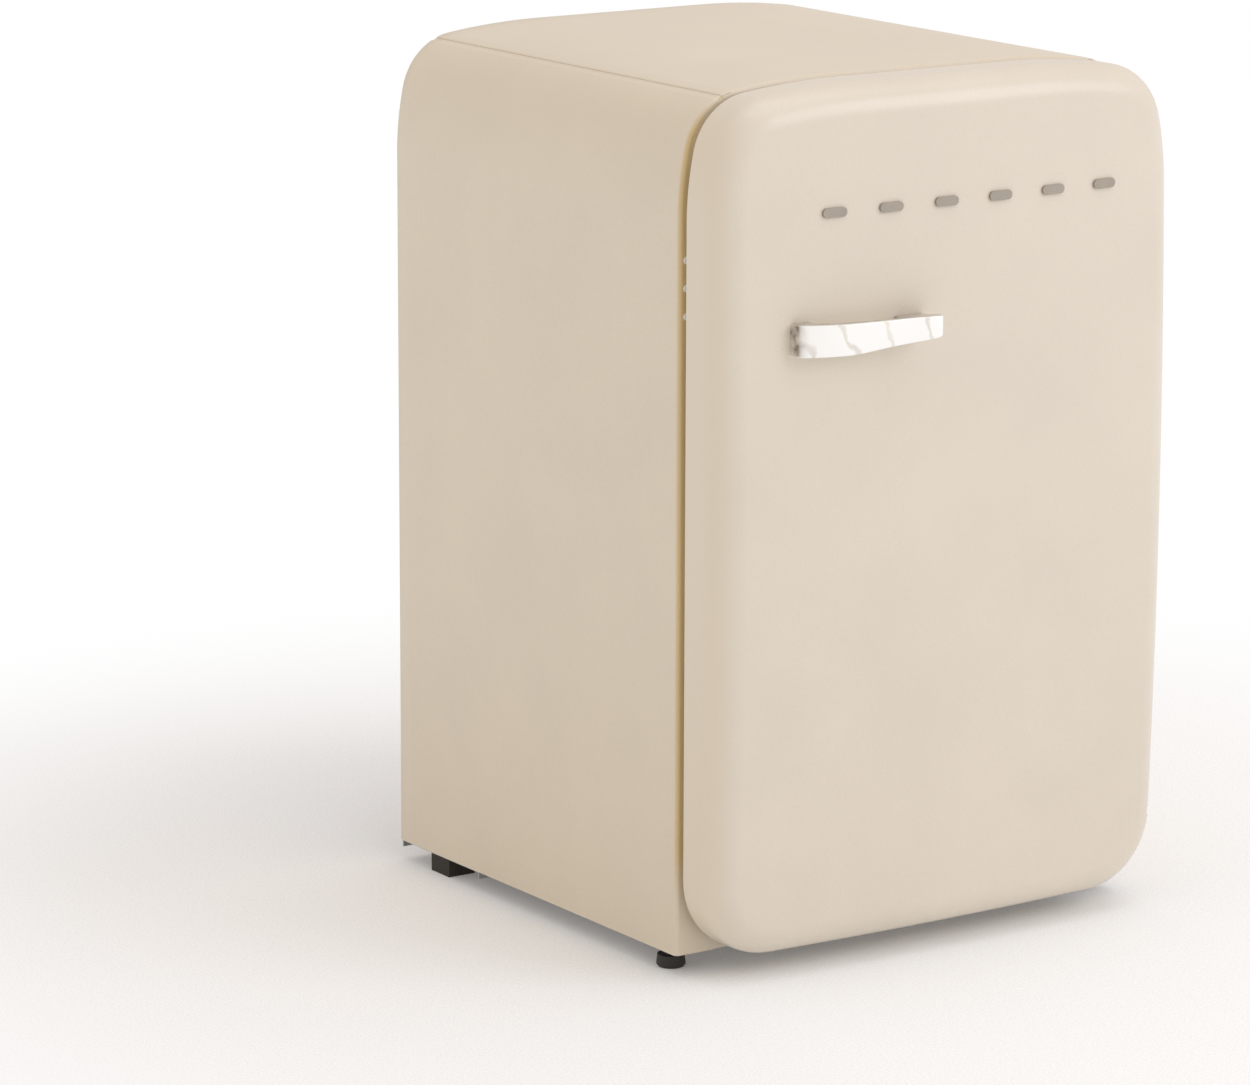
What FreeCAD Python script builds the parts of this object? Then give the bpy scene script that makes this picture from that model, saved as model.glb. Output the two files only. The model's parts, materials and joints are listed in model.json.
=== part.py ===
"""A retro mini fridge: rounded steel cabinet, crowned door on two hidden hinges, and what is inside.

Millimetres. +Z is up and the front faces -Y. The origin is on the floor, under the middle of the
whole object. Inside this file y = 0 is the cabinet's front plane; every sub-part's Placement then
shifts it by the sheet's front_y, which centres the object front to back.
"""
import FreeCAD, Part
import math
import os

import Sketcher
from FreeCAD import Placement, Vector

os.makedirs("parts", exist_ok=True)
doc = FreeCAD.newDocument("mini_fridge")

# ---------------------------------------------------------------- driving dimensions

DIMENSIONS = {
    # cabinet
    "width": 530,
    "height": 840,
    "cabinet_depth": 488,
    "foot_height": 20,
    "sheet_steel": 0.8,
    "side_wall": 44,
    "top_wall": 50,
    "bottom_wall": 42,
    "rear_wall": 46,
    "step_wall": 36,
    "compartment_height": 180,
    "compressor_room": 19,
    "shoulder_low_radius": 296,
    "shoulder_radius": 64,
    "shoulder_top_radius": 785,
    "shoulder_low_angle": 12.6,
    "shoulder_high_angle": 82.2,
    "seam_angle": 61.5,
    "seam_width_angle": 7.2,
    "seam_depth": 1.2,
    "flange_angle": 78,
    # door
    "door_gap": 11,
    "door_edge": 58,
    "door_crown": 10,
    "door_plan_radius": 3500,
    "door_rise_radius": 8400,
    "door_edge_radius": 30,
    "door_corner_radius": 75,
    "door_lift": 2,
    "door_top_drop": 1.5,
    # plastics and seals
    "liner_wall": 1.5,
    "opening_radius": 24,
    "gasket_margin": 28,
    "running_gap": 0.3,
    # hinges
    "hinge_inset": 15,
    "hinge_setback": 24,
    "hinge_pin_radius": 4,
    "pin_clearance": 0.06,
    "top_hinge_drop": 153,
    "bottom_hinge_rise": 77,
    "hinge_plate": 2.5,
    "hinge_plate_length": 72,
    "tongue_half_width": 10,
    "tongue_thickness": 3,
    "screw_pitch": 26,
    "screw_edge": 8.5,
    # handle and trim
    "handle_left": 73.5,
    "handle_length": 147,
    "handle_top_drop": 214,
    "handle_tall": 30.5,
    "handle_short": 20.5,
    "handle_reach": 35,
    "handle_bar": 7,
    "handle_mount": 22,
    "handle_far_mount": 32,
    "trim_drop": 116,
    "trim_left": 122,
    "trim_right": 93,
    "trim_width": 26,
    "trim_band": 9,
    "trim_proud": 2.5,
    # inside
    "glass": 4,
    "shelf_front": 100,
    "rib": 6,
    "lower_shelf_share": 0.3417,
    "upper_shelf_share": 0.6659,
    "low_rib_share": 0.1797,
    "spare_rib_share": 0.5126,
    "dyke_inset": 45,
    "dyke_width": 30,
    "dyke_depth": 39,
    "dyke_top_drop": 110,
    "rack_wall": 2,
    "drawer_wall": 2.2,
    "drawer_front": 95,
    "ice_box_front": 113,
    "ice_box_height": 88,
    "ice_box_gap": 19.5,
    "ice_box_drop": 8,
    "ice_box_sheet": 1.5,
    # cooling unit
    "tube_radius": 2.4,
    "wire_radius": 0.8,
    "condenser_standoff": 18,
    "condenser_top_drop": 155,
    "compressor_radius": 62,
    "plate_steel": 1.5,
}

sheet = doc.addObject("Spreadsheet::Sheet", "Sheet")
for row, (alias, value) in enumerate(DIMENSIONS.items(), 1):
    sheet.set("A%d" % row, alias)
    sheet.set("B%d" % row, str(value))
    sheet.setAlias("B%d" % row, alias)
doc.recompute()


class Size:
    """A length or angle worked out from the sheet: its value now, and the expression that gives it."""

    def __init__(self, value, text):
        self.value = float(value)
        self.text = text

    @staticmethod
    def of(number):
        return number if isinstance(number, Size) else Size(number, repr(float(number)))

    def _with(self, other, sign, flip=False):
        a, b = (Size.of(other), self) if flip else (self, Size.of(other))
        value = {"+": a.value + b.value, "-": a.value - b.value, "*": a.value * b.value}.get(sign)
        if sign == "/":
            value = a.value / b.value
        return Size(value, "(%s %s %s)" % (a.text, sign, b.text))

    def __add__(self, other):
        return self._with(other, "+")

    def __radd__(self, other):
        return self._with(other, "+", True)

    def __sub__(self, other):
        return self._with(other, "-")

    def __rsub__(self, other):
        return self._with(other, "-", True)

    def __mul__(self, other):
        return self._with(other, "*")

    def __rmul__(self, other):
        return self._with(other, "*", True)

    def __truediv__(self, other):
        return self._with(other, "/")

    def __neg__(self):
        return self._with(-1, "*")


def sin(angle):
    return Size(math.sin(math.radians(angle.value)), "sin(%s)" % angle.text)


def cos(angle):
    return Size(math.cos(math.radians(angle.value)), "cos(%s)" % angle.text)


def cell(alias, size):
    """Keeps a worked-out size in the sheet under its own name, so that later expressions stay short."""
    row = cell.next_row
    cell.next_row += 1
    sheet.set("A%d" % row, alias)
    sheet.set("B%d" % row, "=" + size.text.replace("Sheet.", ""))
    sheet.setAlias("B%d" % row, alias)
    return Size(size.value, "Sheet." + alias)


cell.next_row = len(DIMENSIONS) + 2


class Named:
    """The driving dimensions by name, each as a Size."""


d = Named()
for alias, value in DIMENSIONS.items():
    setattr(d, alias, Size(value, "Sheet." + alias))

half = cell("half_width", d.width / 2)
skin = d.sheet_steel
door_back = cell("door_back", -d.door_gap)
door_front = cell("door_front", -(d.door_gap + d.door_edge + d.door_crown))
handle_front = cell("handle_front", door_front - d.handle_reach)
condenser_back = cell("condenser_back", d.cabinet_depth + d.condenser_standoff + d.tube_radius
                      + 2 * d.wire_radius)
front_y = cell("front_y", -(handle_front + condenser_back) / 2)

# ---------------------------------------------------------------- building blocks

nodes = []


def finish(thing, label):
    """Gives a finished sub-part its name and its place."""
    thing.Label = label
    thing.setExpression("Placement.Base.y", front_y.text)
    nodes.append(thing)
    return thing


def bind(thing, **sizes):
    """Sets each property from a Size and ties it to the sheet."""
    for name, size in sizes.items():
        size = Size.of(size)
        setattr(thing, name, size.value)
        thing.setExpression(name, size.text)


def new_body(name):
    return doc.addObject("PartDesign::Body", name)


def origin_plane(body, role):
    return next(f for f in body.Origin.OriginFeatures if f.Role == role)


PLANES = {"x": ("YZ_Plane", 1), "y": ("XZ_Plane", -1), "z": ("XY_Plane", 1)}


def fix_point(sketch, geometry, end, u, v):
    """Pins one end of a sketch line or arc at (u, v)."""
    for kind, size in (("DistanceX", u), ("DistanceY", v)):
        index = sketch.addConstraint(Sketcher.Constraint(kind, geometry, end, size.value))
        sketch.setExpression("Constraints[%d]" % index, size.text)


def fix_radius(sketch, geometry, radius):
    index = sketch.addConstraint(Sketcher.Constraint("Radius", geometry, radius.value))
    sketch.setExpression("Constraints[%d]" % index, radius.text)


def arc_between(start, end, radius, turn):
    """The shorter arc from start to end: turn is 1 to the left and -1 to the right."""
    chord = end - start
    rise = math.sqrt(max(radius ** 2 - (chord.Length / 2) ** 2, 0))
    left = Vector(-chord.y, chord.x, 0).normalize()
    centre = (start + end) * 0.5 + left * rise * turn
    first, last = (start, end) if turn > 0 else (end, start)
    angles = [math.atan2(p.y - centre.y, p.x - centre.x) for p in (first, last)]
    if angles[1] < angles[0]:
        angles[1] += 2 * math.pi
    return Part.ArcOfCircle(Part.Circle(centre, Vector(0, 0, 1), radius), *angles)


def draw(sketch, corners, closed=True):
    """Draws an outline. A corner is (u, v), or (u, v, radius, turn) where an arc leads to the next one."""
    sizes = [(Size.of(c[0]), Size.of(c[1])) for c in corners]
    count = len(corners) if closed else len(corners) - 1
    previous = None
    first = None
    for i in range(count):
        (u, v), (next_u, next_v) = sizes[i], sizes[(i + 1) % len(corners)]
        start = Vector(u.value, v.value, 0)
        end = Vector(next_u.value, next_v.value, 0)
        ends = (1, 2)
        if len(corners[i]) > 2:
            radius, turn = Size.of(corners[i][2]), corners[i][3]
            line = sketch.addGeometry(arc_between(start, end, radius.value, turn), False)
            fix_radius(sketch, line, radius)
            ends = (1, 2) if turn > 0 else (2, 1)
        else:
            line = sketch.addGeometry(Part.LineSegment(start, end), False)
        fix_point(sketch, line, ends[0], u, v)
        if previous:
            sketch.addConstraint(Sketcher.Constraint("Coincident", *previous, line, ends[0]))
        first = first or (line, ends[0])
        previous = (line, ends[1])
    if closed:
        sketch.addConstraint(Sketcher.Constraint("Coincident", *previous, *first))
    else:
        fix_point(sketch, *previous, *sizes[-1])


def draw_circle(sketch, u, v, radius):
    u, v, radius = Size.of(u), Size.of(v), Size.of(radius)
    circle = Part.Circle(Vector(u.value, v.value, 0), Vector(0, 0, 1), radius.value)
    geometry = sketch.addGeometry(circle, False)
    fix_point(sketch, geometry, 3, u, v)
    fix_radius(sketch, geometry, radius)


def new_sketch(body, axis, level=0):
    """A sketch square to an axis, at a level along it."""
    role, sign = PLANES[axis]
    sketch = body.newObject("Sketcher::SketchObject", "Sketch")
    sketch.AttachmentSupport = (origin_plane(body, role), [""])
    sketch.MapMode = "FlatFace"
    offset = Size.of(level) * sign
    sketch.AttachmentOffset = Placement(Vector(0, 0, offset.value), FreeCAD.Rotation())
    sketch.setExpression("AttachmentOffset.Base.z", offset.text)
    return sketch


def circle(u, v, radius):
    return ("circle", u, v, radius)


def prism(body, axis, outlines, low, high, cut=False):
    """Adds or cuts a straight prism along an axis, from low to high."""
    sketch = new_sketch(body, axis, low)
    for outline in outlines:
        if outline[0] == "circle":
            draw_circle(sketch, *outline[1:])
        else:
            draw(sketch, outline)
    before = body.Shape.Volume if body.Tip else 0
    feature = body.newObject("PartDesign::Pocket" if cut else "PartDesign::Pad", "Step")
    feature.Profile = sketch
    bind(feature, Length=Size.of(high) - low)
    feature.Reversed = (axis == "y") != cut
    doc.recompute()
    change = body.Shape.Volume - before
    if (change > -1e-3) if cut else (change < 1e-3):
        raise RuntimeError("%s: a step changed nothing" % body.Name)
    return feature


def turned(body, outline, u, v, axis="z"):
    """A round solid: the outline's u is the radius and v runs along the axis, which passes (u, v)."""
    u, v = Size.of(u), Size.of(v)
    sketch = body.newObject("Sketcher::SketchObject", "Sketch")
    sketch.AttachmentSupport = (origin_plane(body, "XZ_Plane" if axis == "z" else "XY_Plane"), [""])
    sketch.MapMode = "FlatFace"
    depth = -v if axis == "z" else v
    sketch.AttachmentOffset = Placement(Vector(u.value, 0, depth.value), FreeCAD.Rotation())
    sketch.setExpression("AttachmentOffset.Base.x", u.text)
    sketch.setExpression("AttachmentOffset.Base.z", depth.text)
    draw(sketch, outline)
    feature = body.newObject("PartDesign::Revolution", "Turned")
    feature.Profile = sketch
    feature.ReferenceAxis = (sketch, ["V_Axis"])
    feature.Angle = 360
    return feature


def rectangle(low_u, low_v, high_u, high_v):
    return [(low_u, low_v), (high_u, low_v), (high_u, high_v), (low_u, high_v)]


def rounded(low_u, low_v, high_u, high_v, radius):
    """A rectangle with round corners, drawn to the left."""
    return [
        (low_u + radius, low_v), (high_u - radius, low_v, radius, 1),
        (high_u, low_v + radius), (high_u, high_v - radius, radius, 1),
        (high_u - radius, high_v), (low_u + radius, high_v, radius, 1),
        (low_u, high_v - radius), (low_u, low_v + radius, radius, 1),
    ]


def boolean(kind, base, tool):
    result = doc.addObject("Part::" + kind, kind)
    result.Base = base
    result.Tool = tool
    return result


def joined(kind, things):
    result = doc.addObject("Part::" + kind, kind)
    setattr(result, "Links" if kind == "Compound" else "Shapes", things)
    return result


def block(low, high):
    """A plain box between two corners."""
    box = doc.addObject("Part::Box", "Block")
    low = [Size.of(c) for c in low]
    high = [Size.of(c) for c in high]
    bind(box, Length=high[0] - low[0], Width=high[1] - low[1], Height=high[2] - low[2])
    place(box, low)
    return box


def place(thing, corner):
    for name, size in zip("xyz", corner):
        thing.setExpression("Placement.Base." + name, Size.of(size).text)


def rod(radius, start, length, axis="z"):
    """A round bar from a point along an axis."""
    bar = doc.addObject("Part::Cylinder", "Rod")
    bind(bar, Radius=radius, Height=length)
    turn = {"x": (Vector(0, 1, 0), 90), "y": (Vector(1, 0, 0), -90), "z": (Vector(0, 0, 1), 0)}[axis]
    bar.Placement = Placement(Vector(0, 0, 0), FreeCAD.Rotation(*turn))
    place(bar, start)
    return bar


# ---------------------------------------------------------------- the outline that cabinet and door share


class Shoulder:
    """Side and top in three tangent arcs, flat across the middle of the top."""

    def __init__(self, name, top):
        low, mid, high = d.shoulder_low_radius, d.shoulder_radius, d.shoulder_top_radius
        a, b = d.shoulder_low_angle, d.shoulder_high_angle
        x1 = cell(name + "_x_low", half - low)
        x2 = cell(name + "_x_mid", x1 + (low - mid) * cos(a))
        x3 = cell(name + "_x_high", x2 + (mid - high) * cos(b))
        z3 = cell(name + "_z_high", top - high)
        z2 = cell(name + "_z_mid", z3 - (mid - high) * sin(b))
        z1 = cell(name + "_z_low", z2 - (low - mid) * sin(a))
        self.arcs = [(x1, z1, low), (x2, z2, mid), (x3, z3, high)]
        self.start = z1
        self.top = top

    def point(self, arc, angle, inset, side=1):
        """Where the outline, moved in by inset, stands at this angle of its normal above level."""
        x, z, radius = self.arcs[arc]
        return (x + (radius - inset) * cos(angle)) * side, z + (radius - inset) * sin(angle)

    def right(self, inset, last_angle=None):
        """From the straight side up to an angle on the middle arc, or to the flat top."""
        x, z = half - inset, self.start
        corners = [(x, z, self.arcs[0][2] - inset, 1)]
        corners.append((*self.point(1, d.shoulder_low_angle, inset), self.arcs[1][2] - inset, 1))
        if last_angle is not None:
            corners.append(self.point(1, last_angle, inset))
            return corners
        corners.append((*self.point(2, d.shoulder_high_angle, inset), self.arcs[2][2] - inset, 1))
        corners.append((self.arcs[2][0], self.top - inset))
        return corners

    def whole(self, inset, bottom):
        """The closed outline, square at the bottom."""
        right = self.right(inset)
        return [(half - inset, bottom)] + right + mirror_back(right) + [(-(half - inset), bottom)]

    def cap(self, inset, first_angle):
        """Right to left over the top, from an angle on the middle arc."""
        right = [(*self.point(1, first_angle, inset), self.arcs[1][2] - inset, 1)] + self.right(inset)[2:]
        return right + mirror_back(right)


def mirror_back(corners):
    """The same run of corners on the other side, in the opposite order, so that the outline goes on."""
    back = []
    for i in range(len(corners) - 1, -1, -1):
        corner = (-Size.of(corners[i][0]), corners[i][1])
        if i > 0 and len(corners[i - 1]) > 2:
            corner += corners[i - 1][2:]
        back.append(corner)
    return back


def backwards(corners):
    """The same run of corners the other way round, with its arcs turning right."""
    back = []
    for i in range(len(corners) - 1, -1, -1):
        corner = corners[i][:2]
        if i > 0 and len(corners[i - 1]) > 2:
            corner += (corners[i - 1][2], -corners[i - 1][3])
        back.append(corner)
    return back


door_bottom = cell("door_bottom", d.foot_height + d.door_lift)
cabinet_line = Shoulder("cabinet", d.height)
door_line = Shoulder("door", cell("door_top", d.height - d.door_top_drop))

base = d.foot_height
depth = d.cabinet_depth
seam_low = d.seam_angle
seam_high = cell("seam_high_angle", d.seam_angle + d.seam_width_angle)
opening_x = cell("opening_x", half - d.side_wall)
opening_bottom = cell("opening_bottom", base + d.bottom_wall)
opening_top = cell("opening_top", d.height - d.top_wall)
room_front = cell("compartment_front", depth - d.compressor_radius * 2 - d.compressor_room)
room_top = cell("compartment_top", base + d.compartment_height)
step_top = cell("step_top", room_top + d.step_wall)
step_front = cell("step_front", room_front - d.step_wall)
liner_back = cell("liner_back", depth - d.rear_wall)
foam_inset = cell("foam_inset", d.seam_depth + skin)
inside_x = cell("inside_x", opening_x - d.liner_wall)
inside_bottom = cell("inside_bottom", opening_bottom + d.liner_wall)
inside_top = cell("inside_top", opening_top - d.liner_wall)
ice_x = cell("ice_x", inside_x - d.ice_box_gap)
ice_top = cell("ice_top", inside_top - d.ice_box_drop)
ice_low = cell("ice_low", ice_top - d.ice_box_height)
ice_back = cell("ice_back", liner_back - 40)
storage = cell("storage_height", ice_low - step_top)
cover_level = cell("cover_level", step_top + d.liner_wall)
lower_shelf_level = cell("lower_shelf_level", step_top + storage * d.lower_shelf_share)
upper_shelf_level = cell("upper_shelf_level", step_top + storage * d.upper_shelf_share)
foot_x = cell("foot_x", half - 18)
foot_y = 34

# ---------------------------------------------------------------- where the hinges stand

hinge_x = cell("hinge_x", half - d.hinge_inset)
hinge_y = cell("hinge_y", -d.door_gap - d.hinge_setback)
bush_depth = 22
mortise_gap = 4
HINGES = {
    "top": (cell("top_hinge_height", d.height - d.top_hinge_drop), -1),
    "bottom": (cell("bottom_hinge_height", base + d.bottom_hinge_rise), 1),
}


def hinge_faces(name):
    """The tongue's two faces: the one that meets the door's bush, and the other."""
    height, way = HINGES[name]
    return height, height - d.tongue_thickness * way


def hinge_middle(name):
    """The height of the middle of a hinge plate, whose outer end is level with its tongue's outer face."""
    near, far = hinge_faces(name)
    return far + (d.hinge_plate_length / 2) * HINGES[name][1]


screw_radius = 2
screw_clearance = 0.1
screw_grip = 11
screw_head = 1.6


def hinge_screw_places():
    """The six screws through the cabinet's front on the right: x and z."""
    return [(half - d.screw_edge, hinge_middle(name) + d.screw_pitch * i)
            for name in HINGES for i in (-1, 0, 1)]


def hinge_screw_holes():
    bore = screw_radius + screw_clearance
    return joined("MultiFuse", [rod(bore, (x, -1, z), screw_grip + 2, "y") for x, z in hinge_screw_places()])


# ---------------------------------------------------------------- cabinet shell


def make_side_panel(label, side):
    """A painted side with its shoulder, a joggled flange that the top panel laps, and a front return."""
    lap = 2
    body = new_body("Side")
    outer = [(half, base)] + cabinet_line.right(0, seam_low)
    flange = [(*cabinet_line.point(1, seam_low, d.seam_depth), d.shoulder_radius - d.seam_depth, 1),
              cabinet_line.point(1, d.flange_angle, d.seam_depth)]
    under = [(*cabinet_line.point(1, d.flange_angle, foam_inset), d.shoulder_radius - foam_inset, -1),
             cabinet_line.point(1, seam_low - lap, foam_inset)]
    inner = backwards(cabinet_line.right(skin, seam_low - lap)) + [(half - skin, base)]
    prism(body, "y", [on_side(outer + flange + under + inner, side)], 0, depth)
    seam_z = cabinet_line.point(1, seam_low, 0)[1]
    front_return = [(half - skin, base)] + cabinet_line.right(skin, seam_low - lap)
    front_return += [(opening_x, seam_z - lap), (opening_x, base)]
    prism(body, "y", [on_side(front_return, side)], 0, skin)
    end_x = cabinet_line.point(1, d.flange_angle, foam_inset)[0]
    seam_x, seam_z = cabinet_line.point(1, seam_high, foam_inset)
    notch = rectangle(end_x - 1, seam_z - 1, seam_x + 1, d.height)
    prism(body, "y", [on_side(notch, side)], 0, skin, cut=True)
    fold = doc.addObject("Part::Fillet", "Fold")
    fold.Base = body
    edges = [i for i, e in enumerate(body.Shape.Edges, 1)
             if abs(e.BoundBox.YMax) < 1e-3 and e.BoundBox.ZLength > 100
             and max(abs(e.BoundBox.XMin), abs(e.BoundBox.XMax)) > half.value - 1e-3]
    bend = skin.value * 0.9
    fold.Edges = [(i, bend, bend) for i in edges]
    finish(boolean("Cut", fold, hinge_screw_holes()) if side > 0 else fold, label)


def on_side(corners, side):
    """A closed outline of the right side as it is, or mirrored for the left."""
    return corners if side > 0 else mirror_back(corners)


def make_top_panel():
    body = new_body("Top")
    outer = cabinet_line.cap(0, seam_high)
    inner = backwards(cabinet_line.cap(skin, seam_high))
    prism(body, "y", [outer + inner], 0, depth)
    corner_x, corner_z = cabinet_line.point(1, seam_high, skin)
    front = cabinet_line.cap(skin, seam_high) + [(-corner_x, opening_top), (corner_x, opening_top)]
    prism(body, "y", [front], 0, skin)
    finish(body, "top_panel")


def make_rear_panel():
    body = new_body("Rear")
    right = cabinet_line.right(foam_inset)
    low = room_top - 12
    outline = [(half - foam_inset, low)] + right + mirror_back(right) + [(-(half - foam_inset), low)]
    prism(body, "y", [outline], depth - skin, depth)
    finish(body, "rear_panel")


def make_base_pan():
    """Floor, wall and ceiling of the machine compartment, bent from one sheet."""
    body = new_body("BasePan")
    profile = [(skin, base), (room_front, base), (room_front, room_top - skin), (depth - skin, room_top - skin),
               (depth - skin, room_top), (room_front - skin, room_top), (room_front - skin, base + skin),
               (skin, base + skin)]
    prism(body, "x", [profile], -(half - skin), half - skin)
    holes = [circle(foot_x * side, foot_y, stud_radius + stud_clearance) for side in (-1, 1)]
    prism(body, "z", holes, base, base + skin, cut=True)
    finish(body, "base_pan")


def make_front_rail():
    body = new_body("FrontRail")
    prism(body, "y", [rectangle(-opening_x, base + skin, opening_x, opening_bottom)], 0, skin)
    finish(body, "front_bottom_rail")


def make_insulation():
    """Rigid foam between the sheet steel and the liner, cut away over the machine compartment."""
    body = new_body("Foam")
    back = depth - skin
    prism(body, "y", [cabinet_line.whole(foam_inset, base + skin)], skin, back)
    prism(body, "y", [opening(0)], skin, liner_back, cut=True)
    compartment = rectangle(room_front - skin, base + skin, back, room_top)
    prism(body, "x", [compartment], -half, half, cut=True)
    plug = new_body("StepFoam")
    step = rectangle(step_front, opening_bottom, liner_back, step_top)
    prism(plug, "x", [step], -opening_x, opening_x)
    prism(plug, "x", [rectangle(room_front - skin, opening_bottom, liner_back, room_top)],
          -opening_x, opening_x, cut=True)
    foam = joined("MultiFuse", [body, plug])
    studs = [rod(stud_radius + 0.4, (foot_x * side, foot_y, base), stud_height, "z") for side in (-1, 1)]
    finish(boolean("Cut", foam, joined("MultiFuse", studs + [hinge_screw_holes()])), "cabinet_insulation")


def opening(inset):
    """The outline of the cabinet's mouth, moved in by inset."""
    return rounded(-opening_x + inset, opening_bottom + inset, opening_x - inset, opening_top - inset,
                   d.opening_radius - inset)


shelf_levels = [cover_level, lower_shelf_level, upper_shelf_level, step_top + storage * d.low_rib_share,
                step_top + storage * d.spare_rib_share]
shelf_back = cell("shelf_back", liner_back - 6)


def make_liner():
    """The white vacuum-formed tub, with its step over the compressor and its shelf ribs."""
    wall = d.liner_wall
    tub = new_body("Tub")
    prism(tub, "y", [opening(0)], 0, liner_back)
    step_cut = rectangle(step_front, opening_bottom - 1, liner_back + 1, step_top)
    prism(tub, "x", [step_cut], -half, half, cut=True)
    room = new_body("Room")
    prism(room, "y", [opening(wall)], -1, liner_back - wall)
    prism(room, "x", [rectangle(step_front - wall, opening_bottom - 1, liner_back + 1, step_top + wall)],
          -half, half, cut=True)
    ribs = []
    for level in shelf_levels:
        rib_out = opening_x - wall
        for low, high in ((rib_out - d.rib, rib_out), (-rib_out, -rib_out + d.rib)):
            rib_back = shelf_back if level is not cover_level else step_front - wall
            ribs.append(block((low, d.shelf_front + 6, level - 5), (high, rib_back, level)))
    hollow = boolean("Cut", room, joined("MultiFuse", ribs))
    finish(boolean("Cut", tub, hollow), "inner_liner")


# ---------------------------------------------------------------- feet

stud_radius = 4
stud_clearance = 0.08
stud_height = 18


def make_front_feet():
    """Black levelling feet, tapered pads on threaded studs."""
    pad, neck = 12, 1.2
    profile = [(0, 0), (12.2, 0), (14, 2.5), (13, pad), (8, pad), (8, base - neck), (stud_radius, base - neck),
               (stud_radius, base + stud_height - 2), (0, base + stud_height - 2)]
    for side, label in ((-1, "front_left_foot"), (1, "front_right_foot")):
        body = new_body("Foot")
        turned(body, profile, foot_x * side, foot_y)
        finish(body, label)


def make_rear_feet():
    """Fixed rubber blocks under the compressor plate."""
    inset, width, setback, length = 3, 30, 86, 33
    front = depth - setback
    things = []
    for side in (-1, 1):
        low = half - inset - width if side > 0 else -half + inset
        things.append(block((low, front, 0), (low + width, front + length, base - d.plate_steel)))
    finish(joined("Compound", things), "rear_feet")


# ---------------------------------------------------------------- cooling unit

compressor_y = cell("compressor_y", room_front + d.compressor_radius + 12)
grommet_height = 12
mount_x = 78
mount_y = 44


def mount_points():
    return [(x, compressor_y + y) for x in (-mount_x, mount_x) for y in (-mount_y, mount_y)]


def make_compressor_plate():
    """Steel cross plate with down-turned flanges, which carries the compressor and the rear feet."""
    body = new_body("Plate")
    under, flange = base - d.plate_steel, base - 7.5
    front, back = room_front + d.plate_steel, depth - d.plate_steel
    profile = [(room_front, base), (room_front, flange), (front, flange), (front, under),
               (back, under), (back, flange), (depth, flange), (depth, base)]
    prism(body, "x", [profile], -(half - 2), half - 2)
    prism(body, "z", [circle(x, y, 4.2) for x, y in mount_points()], under, base, cut=True)
    finish(body, "compressor_plate")


def make_compressor():
    """A hermetic shell of two deep-drawn halves on a welded foot plate."""
    low = base + grommet_height
    shell = new_body("Shell")
    radius = d.compressor_radius
    r = 22
    profile = [(0, low + 4), (radius - r, low + 4, r, 1), (radius, low + 4 + r), (radius, low + 70),
               (radius + 2.5, low + 70), (radius + 2.5, low + 76), (radius, low + 76),
               (radius, low + 140 - 2 * r, r, 1), (radius - r, low + 140 - r), (0, low + 140 - r + 8)]
    turned(shell, profile, 0, compressor_y)
    foot = new_body("FootPlate")
    prism(foot, "z", [rounded(-mount_x - 14, compressor_y - mount_y - 14, mount_x + 14,
                              compressor_y + mount_y + 14, 12)], low, low + 4)
    prism(foot, "z", [circle(x, y, 4.2) for x, y in mount_points()], low, low + 4, cut=True)
    finish(joined("MultiFuse", [shell, foot]), "compressor")


def make_compressor_mounts():
    grommets = []
    bolts = []
    for x, y in mount_points():
        sleeve = rod(9, (x, y, base), grommet_height)
        grommets.append(boolean("Cut", sleeve, rod(4.1, (x, y, base), grommet_height)))
        shank = rod(4, (x, y, base - 4), grommet_height + 12)
        head = rod(7, (x, y, base + grommet_height + 4), 4)
        bolts.append(joined("MultiFuse", [shank, head]))
    finish(joined("Compound", grommets), "compressor_grommets")
    finish(joined("Compound", bolts), "compressor_bolts")


def make_relay_cover():
    """The black cover over the compressor's terminals and starting relay."""
    body = new_body("RelayCover")
    low = base + 50
    side = d.compressor_radius + 3
    prism(body, "x", [rounded(compressor_y - 26, low, compressor_y + 26, low + 58, 6)], side, side + 34)
    finish(body, "relay_cover")


def tube_along(points, radius, bend):
    """A bent tube: straight runs joined by tangent arcs."""
    points = [Vector(*[Size.of(c).value for c in p]) for p in points]
    edges = []
    at = points[0]
    for i in range(1, len(points) - 1):
        into = (points[i] - points[i - 1]).normalize()
        out = (points[i + 1] - points[i]).normalize()
        reach = bend * math.tan(into.getAngle(out) / 2)
        start, end = points[i] - into * reach, points[i] + out * reach
        towards = (out - into).normalize()
        middle = points[i] + towards * (bend / math.cos(into.getAngle(out) / 2) - bend)
        if (start - at).Length > 1e-6:
            edges.append(Part.LineSegment(at, start).toShape())
        edges.append(Part.Arc(start, middle, end).toShape())
        at = end
    edges.append(Part.LineSegment(at, points[-1]).toShape())
    wire = Part.Wire(edges)
    first = (points[1] - points[0]).normalize()
    ring = Part.Wire([Part.Circle(points[0], first, Size.of(radius).value).toShape()])
    return wire.makePipeShell([ring], True, False, 1)


def bent_tube(label, points, radius, bend):
    """A sub-part that is one bent tube. Its route reads the sheet's values here."""
    thing = doc.addObject("Part::Feature", label)
    thing.Shape = tube_along(points, radius, bend)
    return finish(thing, label)


condenser_x = cell("condenser_x", half - 62)
condenser_y = cell("condenser_y", depth + d.condenser_standoff)
condenser_low = cell("condenser_low", room_top + 45)
condenser_runs = 12
condenser_span = d.height - d.condenser_top_drop - condenser_low
condenser_pitch = cell("condenser_pitch", condenser_span / (condenser_runs - 1))


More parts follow.
